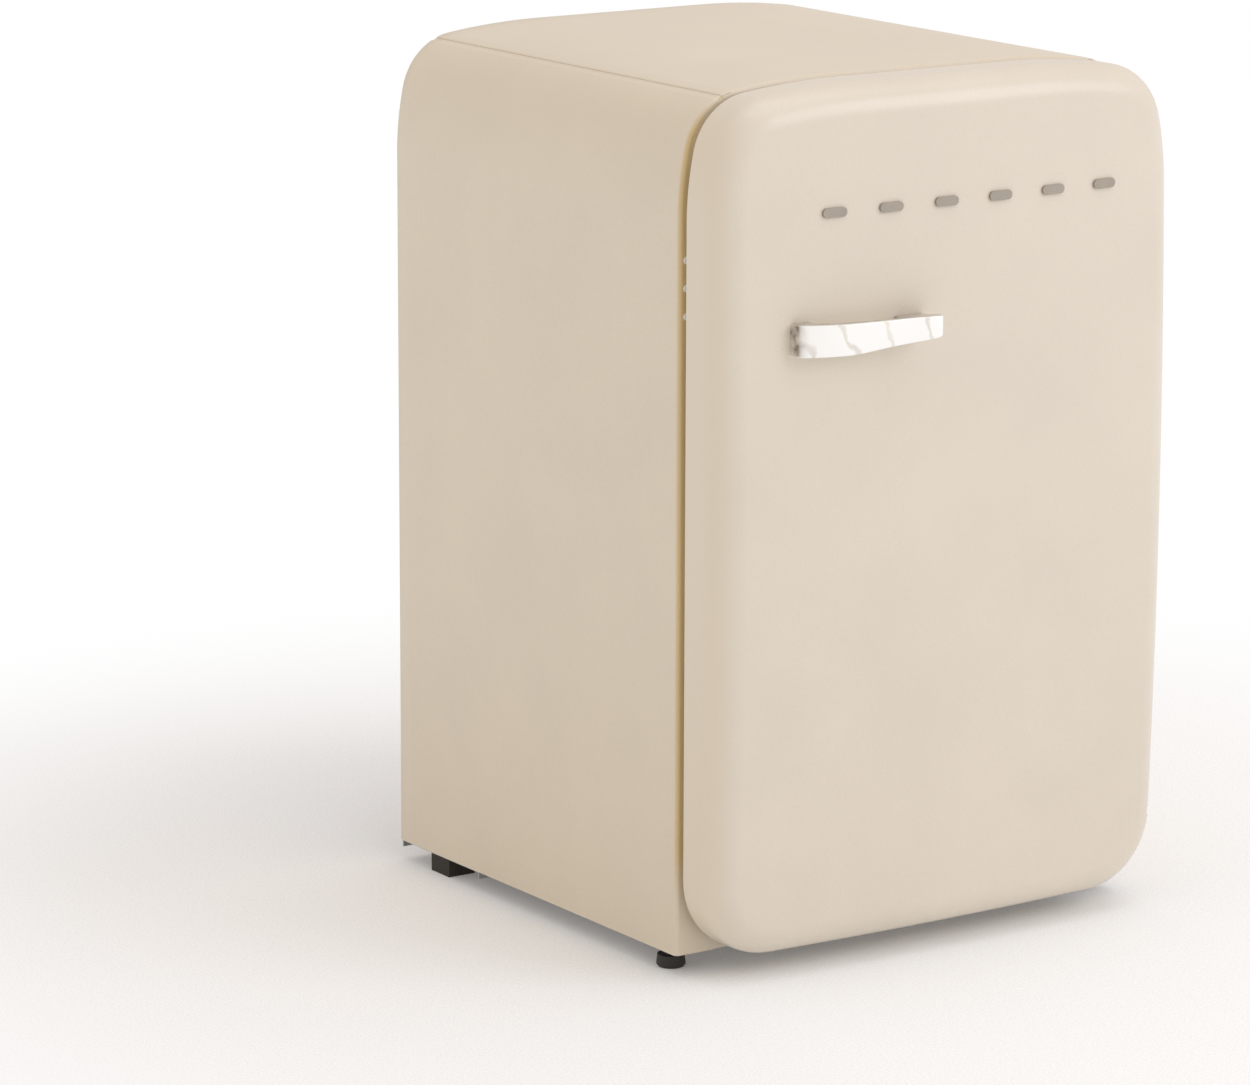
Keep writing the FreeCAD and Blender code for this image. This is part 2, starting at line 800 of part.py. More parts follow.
def make_condenser():
    """A serpentine tube with steel wires on both of its faces, held off the rear panel by four clips."""
    pitch = condenser_pitch
    points = []
    side = 1
    for run in range(condenser_runs):
        z = condenser_low + pitch * run
        points += [(condenser_x * side, condenser_y, z), (condenser_x * -side, condenser_y, z)]
        side = -side
    tube = bent_tube("condenser_tube", points, d.tube_radius, pitch.value / 2 - 0.01)
    top = condenser_low + pitch * (condenser_runs - 1)
    wires = []
    count = 26
    spread = condenser_x - pitch / 2 - 10
    reach = d.tube_radius + d.wire_radius
    for i in range(count):
        x = spread * (2.0 * i / (count - 1) - 1)
        for face in (-1, 1):
            foot = (x, condenser_y + reach * face, condenser_low - 10)
            wires.append(rod(d.wire_radius, foot, top - condenser_low + 20))
    finish(joined("Compound", wires), "condenser_wires")
    return tube


def make_condenser_clips():
    clips = []
    for side in (-1, 1):
        for run in (1, condenser_runs - 2):
            z = condenser_low + condenser_pitch * run
            x = (condenser_x - condenser_pitch / 2 - 3.5) * side
            arm = block((x - 3.5, depth, z - 7), (x + 3.5, condenser_y - 0.5, z + 7))
            clips.append(boolean("Cut", arm, rod(d.tube_radius + 0.1, (x - 8, condenser_y, z), 16, "x")))
    finish(joined("Compound", clips), "condenser_clips")


def make_tubes():
    """The drier, and the tubes from the compressor up to the condenser and back from the ice box."""
    tube = d.tube_radius
    out = compressor_y + d.compressor_radius + 3
    bottom = condenser_low
    discharge = [(-20, out - 6, base + 100), (-20, condenser_y - 12, base + 100),
                 (condenser_x + 12, condenser_y - 12, base + 100), (condenser_x + 12, condenser_y, base + 132),
                 (condenser_x + 12, condenser_y, bottom), (condenser_x, condenser_y, bottom)]
    bent_tube("discharge_tube", discharge, tube, 8)
    drier = new_body("Drier")
    x, z = -(condenser_x - 40), base + 92
    prof = [(0, z), (3, z), (8, z + 9), (8, z + 72), (3, z + 81), (0, z + 81)]
    turned(drier, prof, x, depth - 22)
    finish(drier, "filter_drier")
    suction = [(-52, compressor_y + 25, base + 112), (-100, compressor_y + 25, base + 112),
               (-100, depth - 18, base + 112), (-100, depth - 18, room_top - skin)]
    bent_tube("suction_tube", suction, 3.2, 12)


def make_drip_tray():
    """The plastic tray on top of the compressor, where defrost water dries off."""
    body = new_body("Tray")
    low, high = base + grommet_height + 127, base + grommet_height + 145
    front, back = compressor_y - 46, compressor_y + 46
    prism(body, "z", [rounded(-60, front, 60, back, 10)], low, high)
    prism(body, "z", [rounded(-58, front + 2, 58, back - 2, 8)], low + 2, high, cut=True)
    finish(body, "drip_tray")


def make_cord_gland():
    """The bush in the compressor plate's side wall where the supply cord goes in."""
    body = new_body("Gland")
    x, z = 150, room_top - 40
    outer = circle(x, z, 9)
    bracket = rectangle(x - 16, z - 14, x + 16, room_top - skin)
    prism(body, "y", [bracket], depth - 22, depth - 18)
    prism(body, "y", [outer], depth - 18, depth - 2)
    prism(body, "y", [circle(x, z, 3.6)], depth - 22, depth - 2, cut=True)
    finish(body, "cord_gland")


# ---------------------------------------------------------------- hinges

def make_hinge(name):
    """A plate on the cabinet's front with a tongue into the door, and the pin that it carries."""
    near, far = hinge_faces(name)
    low, high = (near, far) if name == "top" else (far, near)
    middle = hinge_middle(name)
    plate_half = d.hinge_plate_length / 2
    body = new_body("Hinge")
    plate = rectangle(hinge_x - 7, middle - plate_half, half - 3, middle + plate_half)
    prism(body, "y", [plate], -d.hinge_plate, 0)
    r = d.tongue_half_width
    tongue = [(hinge_x + r, -d.hinge_plate / 2), (hinge_x - r, -d.hinge_plate / 2),
              (hinge_x - r, hinge_y, r, 1), (hinge_x, hinge_y - r, r, 1), (hinge_x + r, hinge_y)]
    prism(body, "z", [tongue], low, high)
    prism(body, "z", [circle(hinge_x, hinge_y, d.hinge_pin_radius)], low, high, cut=True)
    holes = [circle(half - d.screw_edge, middle + d.screw_pitch * i, screw_radius + screw_clearance)
             for i in (-1, 0, 1)]
    prism(body, "y", holes, -d.hinge_plate, 0, cut=True)
    finish(body, name + "_hinge_bracket")
    pin = new_body("Pin")
    reach = bush_depth - 2
    bottom, top = (near - reach, far + 1.5) if name == "top" else (far - 1.5, near + reach)
    prism(pin, "z", [circle(hinge_x, hinge_y, d.hinge_pin_radius)], bottom, top)
    collar = (far, far + 1.5) if name == "top" else (far - 1.5, far)
    prism(pin, "z", [circle(hinge_x, hinge_y, d.hinge_pin_radius + 1.6)], *collar)
    finish(pin, name + "_hinge_pin")


def make_hinge_screws():
    screws = []
    for x, z in hinge_screw_places():
        head = rod(3.4, (x, -d.hinge_plate - screw_head, z), screw_head, "y")
        shank = rod(screw_radius, (x, -d.hinge_plate, z), d.hinge_plate + screw_grip, "y")
        screws.append(joined("MultiFuse", [head, shank]))
    finish(joined("Compound", screws), "hinge_screws")


def make_hinge_plugs():
    """Caps in the unused hinge holes on the left, for a door hung the other way."""
    proud = 1.4
    plugs = []
    for i in (-1, 0, 1):
        z = hinge_middle("top") + d.screw_pitch * i
        plugs.append(rod(3.6, (-(half - d.screw_edge), -proud, z), proud, "y"))
    finish(joined("Compound", plugs), "hinge_hole_plugs")


def mortise(name):
    """The slot in the door's edge where the tongue stands, wide enough for the door's whole swing."""
    near, far = hinge_faces(name)
    low, high = (near, far) if name == "top" else (far, near)
    side = hinge_x - d.tongue_half_width - 1
    return block((side, hinge_y - 23, low - mortise_gap), (half + 1, 1, high + mortise_gap))


def bush_block(name, gap=0):
    near = HINGES[name][0]
    way = HINGES[name][1]
    face = near + mortise_gap * way
    low, high = (face - bush_depth, face) if way < 0 else (face, face + bush_depth)
    x, y = 10 + gap, 10 + gap
    return block((hinge_x - x, hinge_y - y, low), (hinge_x + x, hinge_y + y, high)), low, high


def make_hinge_bush(name):
    body, low, high = bush_block(name)
    bore = rod(d.hinge_pin_radius + d.pin_clearance, (hinge_x, hinge_y, low), high - low)
    finish(boolean("Cut", body, bore), name + "_hinge_bush")


# ---------------------------------------------------------------- door


def door_outline(inset):
    """The shared shoulders above, and wide round corners below."""
    right = door_line.right(inset)
    r = d.door_corner_radius
    low = door_bottom
    return ([(half - r, low + inset, r - inset, 1), (half - inset, low + r)] + right + mirror_back(right)
            + [(-(half - inset), low + r, r - inset, 1), (-(half - r), low + inset)])


def door_solid(inset, back):
    """The door's outer form moved in by inset: a double-crowned front with a wide round edge."""
    body = new_body("DoorForm")
    front = door_front + inset
    prism(body, "y", [door_outline(inset)], front - 1, back)
    crown = doc.addObject("Part::Torus", "Crown")
    minor = d.door_plan_radius - inset
    major = d.door_rise_radius - d.door_plan_radius
    bind(crown, Radius1=major, Radius2=minor)
    crown.Placement = Placement(Vector(0, 0, 0), FreeCAD.Rotation(Vector(0, 1, 0), 90))
    place(crown, (0, front + minor + major, (door_bottom + door_line.top) / 2))
    crowned = boolean("Common", body, crown)
    doc.recompute()
    edge = doc.addObject("Part::Fillet", "Edge")
    edge.Base = crowned
    limit = front.value + 3 * d.door_crown.value
    radius = d.door_edge_radius.value - inset.value
    edge.Edges = [(i, radius, radius) for i, e in enumerate(crowned.Shape.Edges, 1)
                  if e.BoundBox.YMax < limit and e.BoundBox.YMax > front.value + 0.5]
    return edge


def make_door():
    zero = Size.of(0)
    outer = door_solid(zero, door_back)
    inner = door_solid(skin, door_back + 2)
    slots = joined("MultiFuse", [mortise("top"), mortise("bottom")])
    shell = boolean("Cut", outer, inner)
    finish(boolean("Cut", shell, slots), "door_skin")

    wall = d.liner_wall
    packing = new_body("Packing")
    prism(packing, "y", [door_outline(skin + 0.2)], door_front - 5, door_back - wall)
    core = boolean("Common", packing, inner)
    bushes = [bush_block(name)[0] for name in HINGES]
    finish(boolean("Cut", core, joined("MultiFuse", [slots] + bushes)), "door_insulation")

    liner = new_body("DoorLiner")
    prism(liner, "y", [door_outline(skin + 0.2)], door_back - wall, door_back)
    inside, low, high = dyke_inner, opening_bottom + 14, dyke_top
    outside = inside + d.dyke_width
    for side in (-1, 1):
        ends = (inside * side, outside * side) if side > 0 else (outside * side, inside * side)
        prism(liner, "y", [rounded(ends[0], low, ends[1], high, 10)],
              door_back - wall, door_back + d.dyke_depth)
        prism(liner, "y", [rounded(ends[0] + wall, low + wall, ends[1] - wall, high - wall, 8.5)],
              door_back - wall, door_back + d.dyke_depth - wall, cut=True)
    finish(boolean("Cut", liner, slots), "door_liner")
    return outer


dyke_inner = cell("dyke_inner", opening_x - d.dyke_inset)
dyke_top = cell("dyke_top", opening_top - d.dyke_top_drop)


def make_gasket():
    """The magnetic seal, a hair clear of the cabinet when the door is shut."""
    width = d.side_wall - d.gasket_margin
    body = new_body("Gasket")
    wide = opening(-1 - width)
    narrow = opening(Size.of(-1))
    prism(body, "y", [wide, narrow], door_back, -d.running_gap)
    finish(body, "door_gasket")


def make_racks():
    """Three open trays between the liner's dykes, with a front wall that holds the bottles."""
    wall = d.rack_wall
    reach = dyke_inner - d.running_gap
    dyke_length = dyke_top - opening_bottom
    heights = [("bottom_door_rack", opening_bottom + 30, 96, 72),
               ("middle_door_rack", opening_bottom + dyke_length * 0.4175, 74, 58),
               ("top_door_rack", opening_bottom + dyke_length * 0.7735, 74, 58)]
    for label, low, tall, front in heights:
        body = new_body("Rack")
        back = door_back + 1
        prism(body, "z", [rounded(-reach, back, reach, front, 14)], low, low + tall)
        prism(body, "z", [rounded(-reach + wall, back + wall, reach - wall, front - wall, 12)],
              low + wall, low + tall + 1, cut=True)
        prism(body, "y", [rectangle(-reach + 26, low + tall * 0.4, reach - 26, low + tall + 1)],
              back - 1, back + wall + 12, cut=True)
        finish(body, label)


def make_handle(door_form):
    """A bar with a level top and a tapering underside, on a broad mount and on one behind its far end."""
    left = cell("handle_x", d.handle_left - half)
    right = cell("handle_end_x", left + d.handle_length)
    front = handle_front
    bar = d.handle_bar
    seat = door_front + 14
    swell = left + 45
    far = right - d.handle_far_mount
    near = left + d.handle_mount
    body = new_body("Handle")
    outline = [
        (left, seat), (left, front + 34, 9, 1), (left + 8, front + 27),
        (left + 12, front + 25, 60, 1), (swell, front + 13, 400, -1), (right - 10, front, 9.5, 1),
        (right, front + 9), (right, seat),
        (far, seat), (far, front + 8 + bar), (far - 6, front + 3 + bar, 400, 1),
        (swell, front + 13 + bar), (near + 3, front + 22 + bar), (near, front + 27 + bar), (near, seat),
    ]
    high = d.height - d.handle_top_drop
    low = high - d.handle_tall
    prism(body, "z", [outline], low, high)
    clear = 5
    wedge = [(swell, low), (swell, low - clear), (right + 1, low - clear), (right + 1, high - d.handle_short)]
    prism(body, "y", [wedge], front - clear, seat + clear, cut=True)
    finish(boolean("Cut", body, door_form), "door_handle")


def make_trim(door_form):
    """Six plain bright bars in a row, following the door's crown."""
    proud = door_solid(-d.trim_proud, door_back)
    band = boolean("Cut", proud, door_form)
    count = 6
    pitch = (d.width - d.trim_left - d.trim_right) / (count - 1)
    z = d.height - d.trim_drop
    w, t = d.trim_width / 2, d.trim_band / 2
    bars = []
    for i in range(count):
        x = d.trim_left + pitch * i - half
        bar = new_body("Bar")
        prism(bar, "y", [rounded(x - w, z - t, x + w, z + t, t - 0.1)], door_front - 5, door_front + 20)
        bars.append(boolean("Common", band, bar))
    finish(joined("Compound", bars), "trim_bars")


# ---------------------------------------------------------------- inside the cabinet


def make_shelf(label, level):
    """Tempered glass on the liner's ribs, with a plastic trim along its front edge."""
    reach = inside_x - 2
    body = new_body("Shelf")
    prism(body, "z", [rounded(-reach, d.shelf_front, reach, shelf_back, 4)], level, level + d.glass)
    finish(body, label)
    trim = new_body("Trim")
    lip = 3
    front, edge, back = d.shelf_front - 4, d.shelf_front, d.shelf_front + 5.9
    low, top, high = level - lip, level + d.glass, level + d.glass + lip
    channel = [(front, low), (back, low), (back, level), (edge, level), (edge, top), (back, top),
               (back, high), (front, high)]
    prism(trim, "x", [channel], -reach, reach)
    finish(trim, label + "_trim")


def make_drawer():
    """The crisper drawer, which stands on the liner's floor in front of the step."""
    wall = d.drawer_wall
    body = new_body("Drawer")
    reach = opening_x - d.opening_radius - 0.5
    low = inside_bottom + d.running_gap
    high = step_top - 8
    back = step_front - d.liner_wall - 3
    prism(body, "z", [rounded(-reach, d.drawer_front, reach, back, 16)], low, high)
    prism(body, "z", [rounded(-reach + wall, d.drawer_front + wall, reach - wall, back - wall, 14)],
          low + wall, high + 1, cut=True)
    grip = Size.of(60)
    prism(body, "y", [rounded(-grip, high - 26, grip, high - 8, 8.5)], d.drawer_front - 1,
          d.drawer_front + wall + 1, cut=True)
    finish(body, "crisper_drawer")


flap_y = cell("flap_y", d.ice_box_front - 6)
flap_z = cell("flap_z", ice_top - 6)
flap_pin = 2.2


def make_ice_box():
    """The aluminium freezing box under the liner's ceiling, with two ears for its flap's pins."""
    t = d.ice_box_sheet
    tube = new_body("IceBox")
    prism(tube, "y", [rounded(-ice_x, ice_low, ice_x, ice_top, 6)], d.ice_box_front, ice_back)
    prism(tube, "y", [rounded(-ice_x + t, ice_low + t, ice_x - t, ice_top - t, 6 - t)],
          d.ice_box_front, ice_back - t, cut=True)
    ears = []
    for low in (-ice_x, ice_x - t):
        ears.append(block((low, flap_y - 5, flap_z - 8), (low + t, d.ice_box_front + 8, flap_z + 4)))
    holes = rod(flap_pin + d.pin_clearance, (-ice_x - 1, flap_y, flap_z), ice_x * 2 + 2, "x")
    finish(boolean("Cut", joined("MultiFuse", [tube] + ears), holes), "ice_box")
    hangers = [block((x - 12, y - 8, ice_top), (x + 12, y + 8, inside_top))
               for x in (50 - ice_x, ice_x - 50) for y in (d.ice_box_front + 40, ice_back - 40)]
    finish(joined("Compound", hangers), "ice_box_hangers")


def make_flap():
    """The ice box's clear flap, which lifts on two moulded pins."""
    body = new_body("Flap")
    reach = ice_x - d.ice_box_sheet - 1
    prism(body, "x", [rectangle(flap_y - 2.2, ice_low + 1, flap_y + 2.2, flap_z + 3)], -reach, reach)
    prism(body, "x", [circle(flap_y, flap_z, flap_pin)], -ice_x + 0.2, ice_x - 0.2)
    grip = Size.of(32)
    prism(body, "y", [rounded(-grip, ice_low + 8, grip, ice_low + 20, 5)], flap_y - 8, flap_y - 2.2)
    finish(body, "ice_box_flap")


control_x = cell("control_x", inside_x - 28)
dial_y = 158
dial_z = cell("dial_z", upper_shelf_level + (ice_low - upper_shelf_level) * 0.6033)


def around(y, z, half_y, half_z, radius):
    """A rounded rectangle about a middle."""
    y, z = Size.of(y), Size.of(z)
    return rounded(y - half_y, z - half_z, y + half_y, z + half_z, radius)


def make_controls():
    """The thermostat and lamp housing on the right wall, its dial, lens and the door switch."""
    housing_half_y, housing_half_z = 65, 36
    lens_half_y, lens_half_z = 24, 26
    housing_y, lens_y = dial_y + 33, dial_y + 64
    spindle, knob, knob_out = 3, 19, 13
    body = new_body("Housing")
    prism(body, "x", [around(housing_y, dial_z, housing_half_y, housing_half_z, 10)], control_x, inside_x)
    prism(body, "x", [around(lens_y, dial_z, lens_half_y, lens_half_z, 5)], control_x, control_x + 8, cut=True)
    prism(body, "x", [circle(dial_y, dial_z, spindle + d.pin_clearance)], control_x, control_x + 14, cut=True)
    finish(body, "thermostat_housing")
    lens = new_body("Lens")
    prism(lens, "x", [around(lens_y, dial_z, lens_half_y - 0.2, lens_half_z - 0.2, 5)],
          control_x - 1.5, control_x + 3)
    finish(lens, "lamp_lens")
    lamp = new_body("Lamp")
    prism(lamp, "x", [around(lens_y, dial_z, 16, 18, 2)], control_x + 6, control_x + 8)
    for y in (lens_y - 8, lens_y + 8):
        for z in (dial_z - 10, dial_z + 10):
            prism(lamp, "x", [rectangle(y - 3, z - 3, y + 3, z + 3)], control_x + 4.5, control_x + 6)
    finish(lamp, "lamp_board")
    dial = new_body("Dial")
    prism(dial, "x", [circle(dial_y, dial_z, knob)], control_x - knob_out, control_x - d.running_gap)
    prism(dial, "x", [circle(dial_y, dial_z, spindle)], control_x - d.running_gap, control_x + 12)
    mark = rectangle(dial_y - 1.2, dial_z + 6, dial_y + 1.2, dial_z + knob - 2)
    prism(dial, "x", [mark], control_x - knob_out, control_x - knob_out + 1, cut=True)
    finish(dial, "thermostat_dial")
    case_wide, case_half_tall, case_front, case_back = 19, 12, 14, 52
    switch_x = inside_x - 10
    switch_z = inside_top - 71.5
    case = block((inside_x - case_wide, case_front, switch_z - case_half_tall),
                 (inside_x, case_back, switch_z + case_half_tall))
    bore = rod(spindle + d.pin_clearance, (switch_x, case_front - 1, switch_z), 30, "y")
    finish(boolean("Cut", case, bore), "door_switch")
    plunger = new_body("Plunger")
    prism(plunger, "y", [circle(switch_x, switch_z, spindle)], door_back + d.running_gap, 36)
    finish(plunger, "door_switch_plunger")


# ---------------------------------------------------------------- make every sub-part, check it, write it

make_side_panel("left_side_panel", -1)
make_side_panel("right_side_panel", 1)
make_top_panel()
make_rear_panel()
make_base_pan()
make_front_rail()
make_insulation()
make_liner()
make_front_feet()
make_rear_feet()
make_compressor_plate()
make_compressor()
make_compressor_mounts()
make_relay_cover()
make_condenser()
make_condenser_clips()
make_tubes()
make_drip_tray()
make_cord_gland()
make_hinge("top")
make_hinge("bottom")
make_hinge_screws()
make_hinge_plugs()
make_hinge_bush("top")
make_hinge_bush("bottom")
door_form = make_door()
make_gasket()
make_racks()
make_handle(door_form)
make_trim(door_form)
make_shelf("lower_shelf", lower_shelf_level)
make_shelf("upper_shelf", upper_shelf_level)
make_shelf("crisper_cover", cover_level)
make_drawer()
make_ice_box()
make_flap()
make_controls()

doc.recompute()
failed = [thing.Label for thing in doc.Objects if {"Invalid", "Error"} & set(thing.State)]
for node in nodes:
    if node.Shape.isNull() or not node.Shape.isValid() or node.Shape.Volume <= 0:
        failed.append(node.Label)
if failed:
    raise RuntimeError("these didn't build: %s" % failed)
for node in nodes:
    node.Shape.exportStep("parts/%s.step" % node.Label)
    print(node.Label, len(node.Shape.Solids), round(node.Shape.Volume / 1000, 2), "cm3")
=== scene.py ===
"""A retro mini fridge in cream enamel, on a pale studio floor.

Metres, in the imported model's own frame: +Z up, the door faces -Y. The cabinet's three skins, the
door's shell, the seal and the handle are built here at full smoothness. The other pieces are the
packed ones, with a finished material and, on most of them, softened edges.
"""
import json
import math

import bmesh
import bpy
from mathutils import Matrix, Vector


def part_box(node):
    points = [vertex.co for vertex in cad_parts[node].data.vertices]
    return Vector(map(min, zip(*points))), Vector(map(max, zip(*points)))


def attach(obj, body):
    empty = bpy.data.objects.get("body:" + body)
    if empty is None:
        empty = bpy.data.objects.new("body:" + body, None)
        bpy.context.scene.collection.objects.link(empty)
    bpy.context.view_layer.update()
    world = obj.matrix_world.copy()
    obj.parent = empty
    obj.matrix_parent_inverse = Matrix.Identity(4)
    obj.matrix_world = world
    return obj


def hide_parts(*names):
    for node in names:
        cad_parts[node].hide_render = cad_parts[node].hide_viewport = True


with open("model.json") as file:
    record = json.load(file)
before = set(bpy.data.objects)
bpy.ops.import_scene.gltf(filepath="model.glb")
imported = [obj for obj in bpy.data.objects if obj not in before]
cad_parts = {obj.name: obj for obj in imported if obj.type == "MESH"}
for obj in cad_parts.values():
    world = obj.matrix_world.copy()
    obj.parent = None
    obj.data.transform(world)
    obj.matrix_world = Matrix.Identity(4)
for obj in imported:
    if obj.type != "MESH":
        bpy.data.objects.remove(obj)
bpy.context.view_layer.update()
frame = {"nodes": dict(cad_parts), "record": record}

MM = 0.001

# ---------------------------------------------------------------- places read from the frame

side_low, side_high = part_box("right_side_panel")
top_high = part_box("top_panel")[1]
skin_low, skin_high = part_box("door_skin")
liner_low, liner_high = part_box("inner_liner")
HALF = side_high.x
FRONT = side_low.y
BACK = side_high.y
BASE = side_low.z
TOP = top_high.z
DOOR_BACK = skin_high.y
DOOR_FRONT = skin_low.y
DOOR_LOW = skin_low.z
DOOR_TOP = skin_high.z

# the side wall's thickness, the corners of the mouth that the liner lines, and the skins' front bend
WALL = HALF - liner_high.x
MOUTH_CORNER = 24 * MM
BEND = 4.5 * MM

# the three arcs from the straight side up to the middle of the top: radii, and the normal's angle at each
# one's end
SHOULDER_RADII = (296 * MM, 64 * MM, 785 * MM)
SHOULDER_ANGLES = (12.6, 82.2, 90.0)

# ---------------------------------------------------------------- materials


def node_material(name):
    """A new material, its node tree and its main shader."""
    material = bpy.data.materials.new(name)
    material.use_nodes = True
    tree = material.node_tree
    shader = next(n for n in tree.nodes if n.type == "BSDF_PRINCIPLED")
    return material, tree, shader


def add(tree, kind, **values):
    """A new node with some inputs or properties set by name."""
    node = tree.nodes.new(kind)
    for name, value in values.items():
        if name in node.inputs:
            node.inputs[name].default_value = value
        else:
            setattr(node, name, value)
    return node


def noise(tree, scale, detail=3.0, roughness=0.5, vector=None):
    node = add(tree, "ShaderNodeTexNoise", Scale=scale, Detail=detail, Roughness=roughness)
    tree.links.new(vector or place_of(tree), node.inputs["Vector"])
    return node


def place_of(tree):
    """Object coordinates, shared by a material's textures."""
    found = next((n for n in tree.nodes if n.type == "TEX_COORD"), None)
    return (found or tree.nodes.new("ShaderNodeTexCoord")).outputs["Object"]


def blend_colours(tree, factor, low, high, low_at=0.3, high_at=0.7):
    """One colour below low_at and another above high_at, blended between."""
    ramp = tree.nodes.new("ShaderNodeValToRGB")
    ramp.color_ramp.elements[0].position = low_at
    ramp.color_ramp.elements[0].color = (*low, 1)
    ramp.color_ramp.elements[1].position = high_at
    ramp.color_ramp.elements[1].color = (*high, 1)
    tree.links.new(factor, ramp.inputs["Fac"])
    return ramp.outputs["Color"]


def spread(tree, factor, low, high):
    """Maps a 0 to 1 texture onto a range, as for roughness."""
    node = add(tree, "ShaderNodeMapRange")
    node.inputs["To Min"].default_value = low
    node.inputs["To Max"].default_value = high
    tree.links.new(factor, node.inputs["Value"])
    return node.outputs["Result"]


def bump(tree, shader, height, strength, distance):
    node = add(tree, "ShaderNodeBump", Strength=strength, Distance=distance)
    tree.links.new(height, node.inputs["Height"])
    tree.links.new(node.outputs["Normal"], shader.inputs["Normal"])


def srgb(r, g, b):
    """A colour given as 0 to 255 screen values, as Blender's linear ones."""
    return tuple((c / 255 / 12.92) if c <= 10 else ((c / 255 + 0.055) / 1.055) ** 2.4 for c in (r, g, b))


def shade(colour, by):
    """A colour made darker or lighter."""
    return tuple(min(1.0, c * by) for c in colour)


def enamel(name, colour, roughness, coat, change=None):
    """Sprayed and baked enamel: a faint orange peel under a soft gloss, with the slightest mottle.

    change, when given, takes the tree and the finished colour and returns the colour to use."""
    material, tree, shader = node_material(name)
    cloud = noise(tree, 9, 4)
    colours = blend_colours(tree, cloud.outputs["Fac"], shade(colour, 0.975), shade(colour, 1.02))
    grain = noise(tree, 900, 2)
    fleck = add(tree, "ShaderNodeMix", data_type="RGBA", blend_type="MULTIPLY")
    fleck.inputs["Factor"].default_value = 0.5
    tree.links.new(colours, fleck.inputs["A"])
    tree.links.new(blend_colours(tree, grain.outputs["Fac"], (0.88, 0.875, 0.86), (1, 1, 1)),
                   fleck.inputs["B"])
    painted = change(tree, fleck.outputs["Result"]) if change else fleck.outputs["Result"]
    tree.links.new(painted, shader.inputs["Base Color"])
    tree.links.new(spread(tree, cloud.outputs["Fac"], roughness - 0.04, roughness + 0.04),
                   shader.inputs["Roughness"])
    peel = noise(tree, 260, 2)
    bump(tree, shader, peel.outputs["Fac"], 0.05, 0.0006)
    shader.inputs["Coat Weight"].default_value = coat
    shader.inputs["Coat Roughness"].default_value = 0.26
    return material


def plastic(name, colour, roughness, grain_scale=600.0, grain_depth=0.0001, clear=0.0, mottle=0.04):
    """Moulded plastic with a fine surface grain. A clear one lets what is behind it show."""
    material, tree, shader = node_material(name)
    cloud = noise(tree, 14, 3)
    dark, light = shade(colour, 1 - mottle), shade(colour, 1 + mottle / 2)
    tree.links.new(blend_colours(tree, cloud.outputs["Fac"], dark, light), shader.inputs["Base Color"])
    tree.links.new(spread(tree, cloud.outputs["Fac"], roughness - 0.05, roughness + 0.05),
                   shader.inputs["Roughness"])
    bump(tree, shader, noise(tree, grain_scale, 2).outputs["Fac"], 0.25, grain_depth)
    shader.inputs["Alpha"].default_value = 1 - clear
    shader.inputs["IOR"].default_value = 1.49
    return material


def metal(name, colour, roughness, brushed_axis=None, wear=0.06):
    """Bare or plated metal with fine brushing along an axis and some dulling."""
    material, tree, shader = node_material(name)
    place = place_of(tree)
    if brushed_axis is not None:
        stretch = add(tree, "ShaderNodeMapping")
        scale = [260.0, 260.0, 260.0]
        scale[brushed_axis] = 6.0
        stretch.inputs["Scale"].default_value = scale
        tree.links.new(place, stretch.inputs["Vector"])
        place = stretch.outputs["Vector"]
        lines = noise(tree, 3, 3, vector=place)
    else:
        lines = noise(tree, 300, 3)
    cloud = noise(tree, 22, 4)
    colours = blend_colours(tree, cloud.outputs["Fac"], shade(colour, 1 - wear), shade(colour, 1 + wear))
    tree.links.new(colours, shader.inputs["Base Color"])
    tree.links.new(spread(tree, lines.outputs["Fac"], roughness - 0.07, roughness + 0.09),
                   shader.inputs["Roughness"])
    bump(tree, shader, lines.outputs["Fac"], 0.08, 0.0001)
    shader.inputs["Metallic"].default_value = 1.0
    return material


def ranged(tree, value, low, high):
    """0 at low and 1 at high, with a soft start and end."""
    node = add(tree, "ShaderNodeMapRange")
    node.interpolation_type = "SMOOTHSTEP"
    node.inputs["From Min"].default_value, node.inputs["From Max"].default_value = low, high
    tree.links.new(value, node.inputs["Value"])
    return node.outputs["Result"]


def mixed(tree, factor, a, b, blend="MIX"):
    """Colour a, taken towards the plain colour b by a factor."""
    node = add(tree, "ShaderNodeMix", data_type="RGBA", blend_type=blend)
    tree.links.new(factor, node.inputs["Factor"])
    tree.links.new(a, node.inputs["A"])
    node.inputs["B"].default_value = (*b, 1)
    return node.outputs["Result"]


def maths(tree, operation, a, b=None):
    """One step of arithmetic. Each of a and b is a socket or a number."""
    node = add(tree, "ShaderNodeMath", operation=operation)
    for socket, value in zip(node.inputs, (a, b)):
        if isinstance(value, (int, float)):
            socket.default_value = value
        elif value is not None:
            tree.links.new(value, socket)
    return node.outputs["Value"]


def product(tree, a, b):
    return maths(tree, "MULTIPLY", a, b)


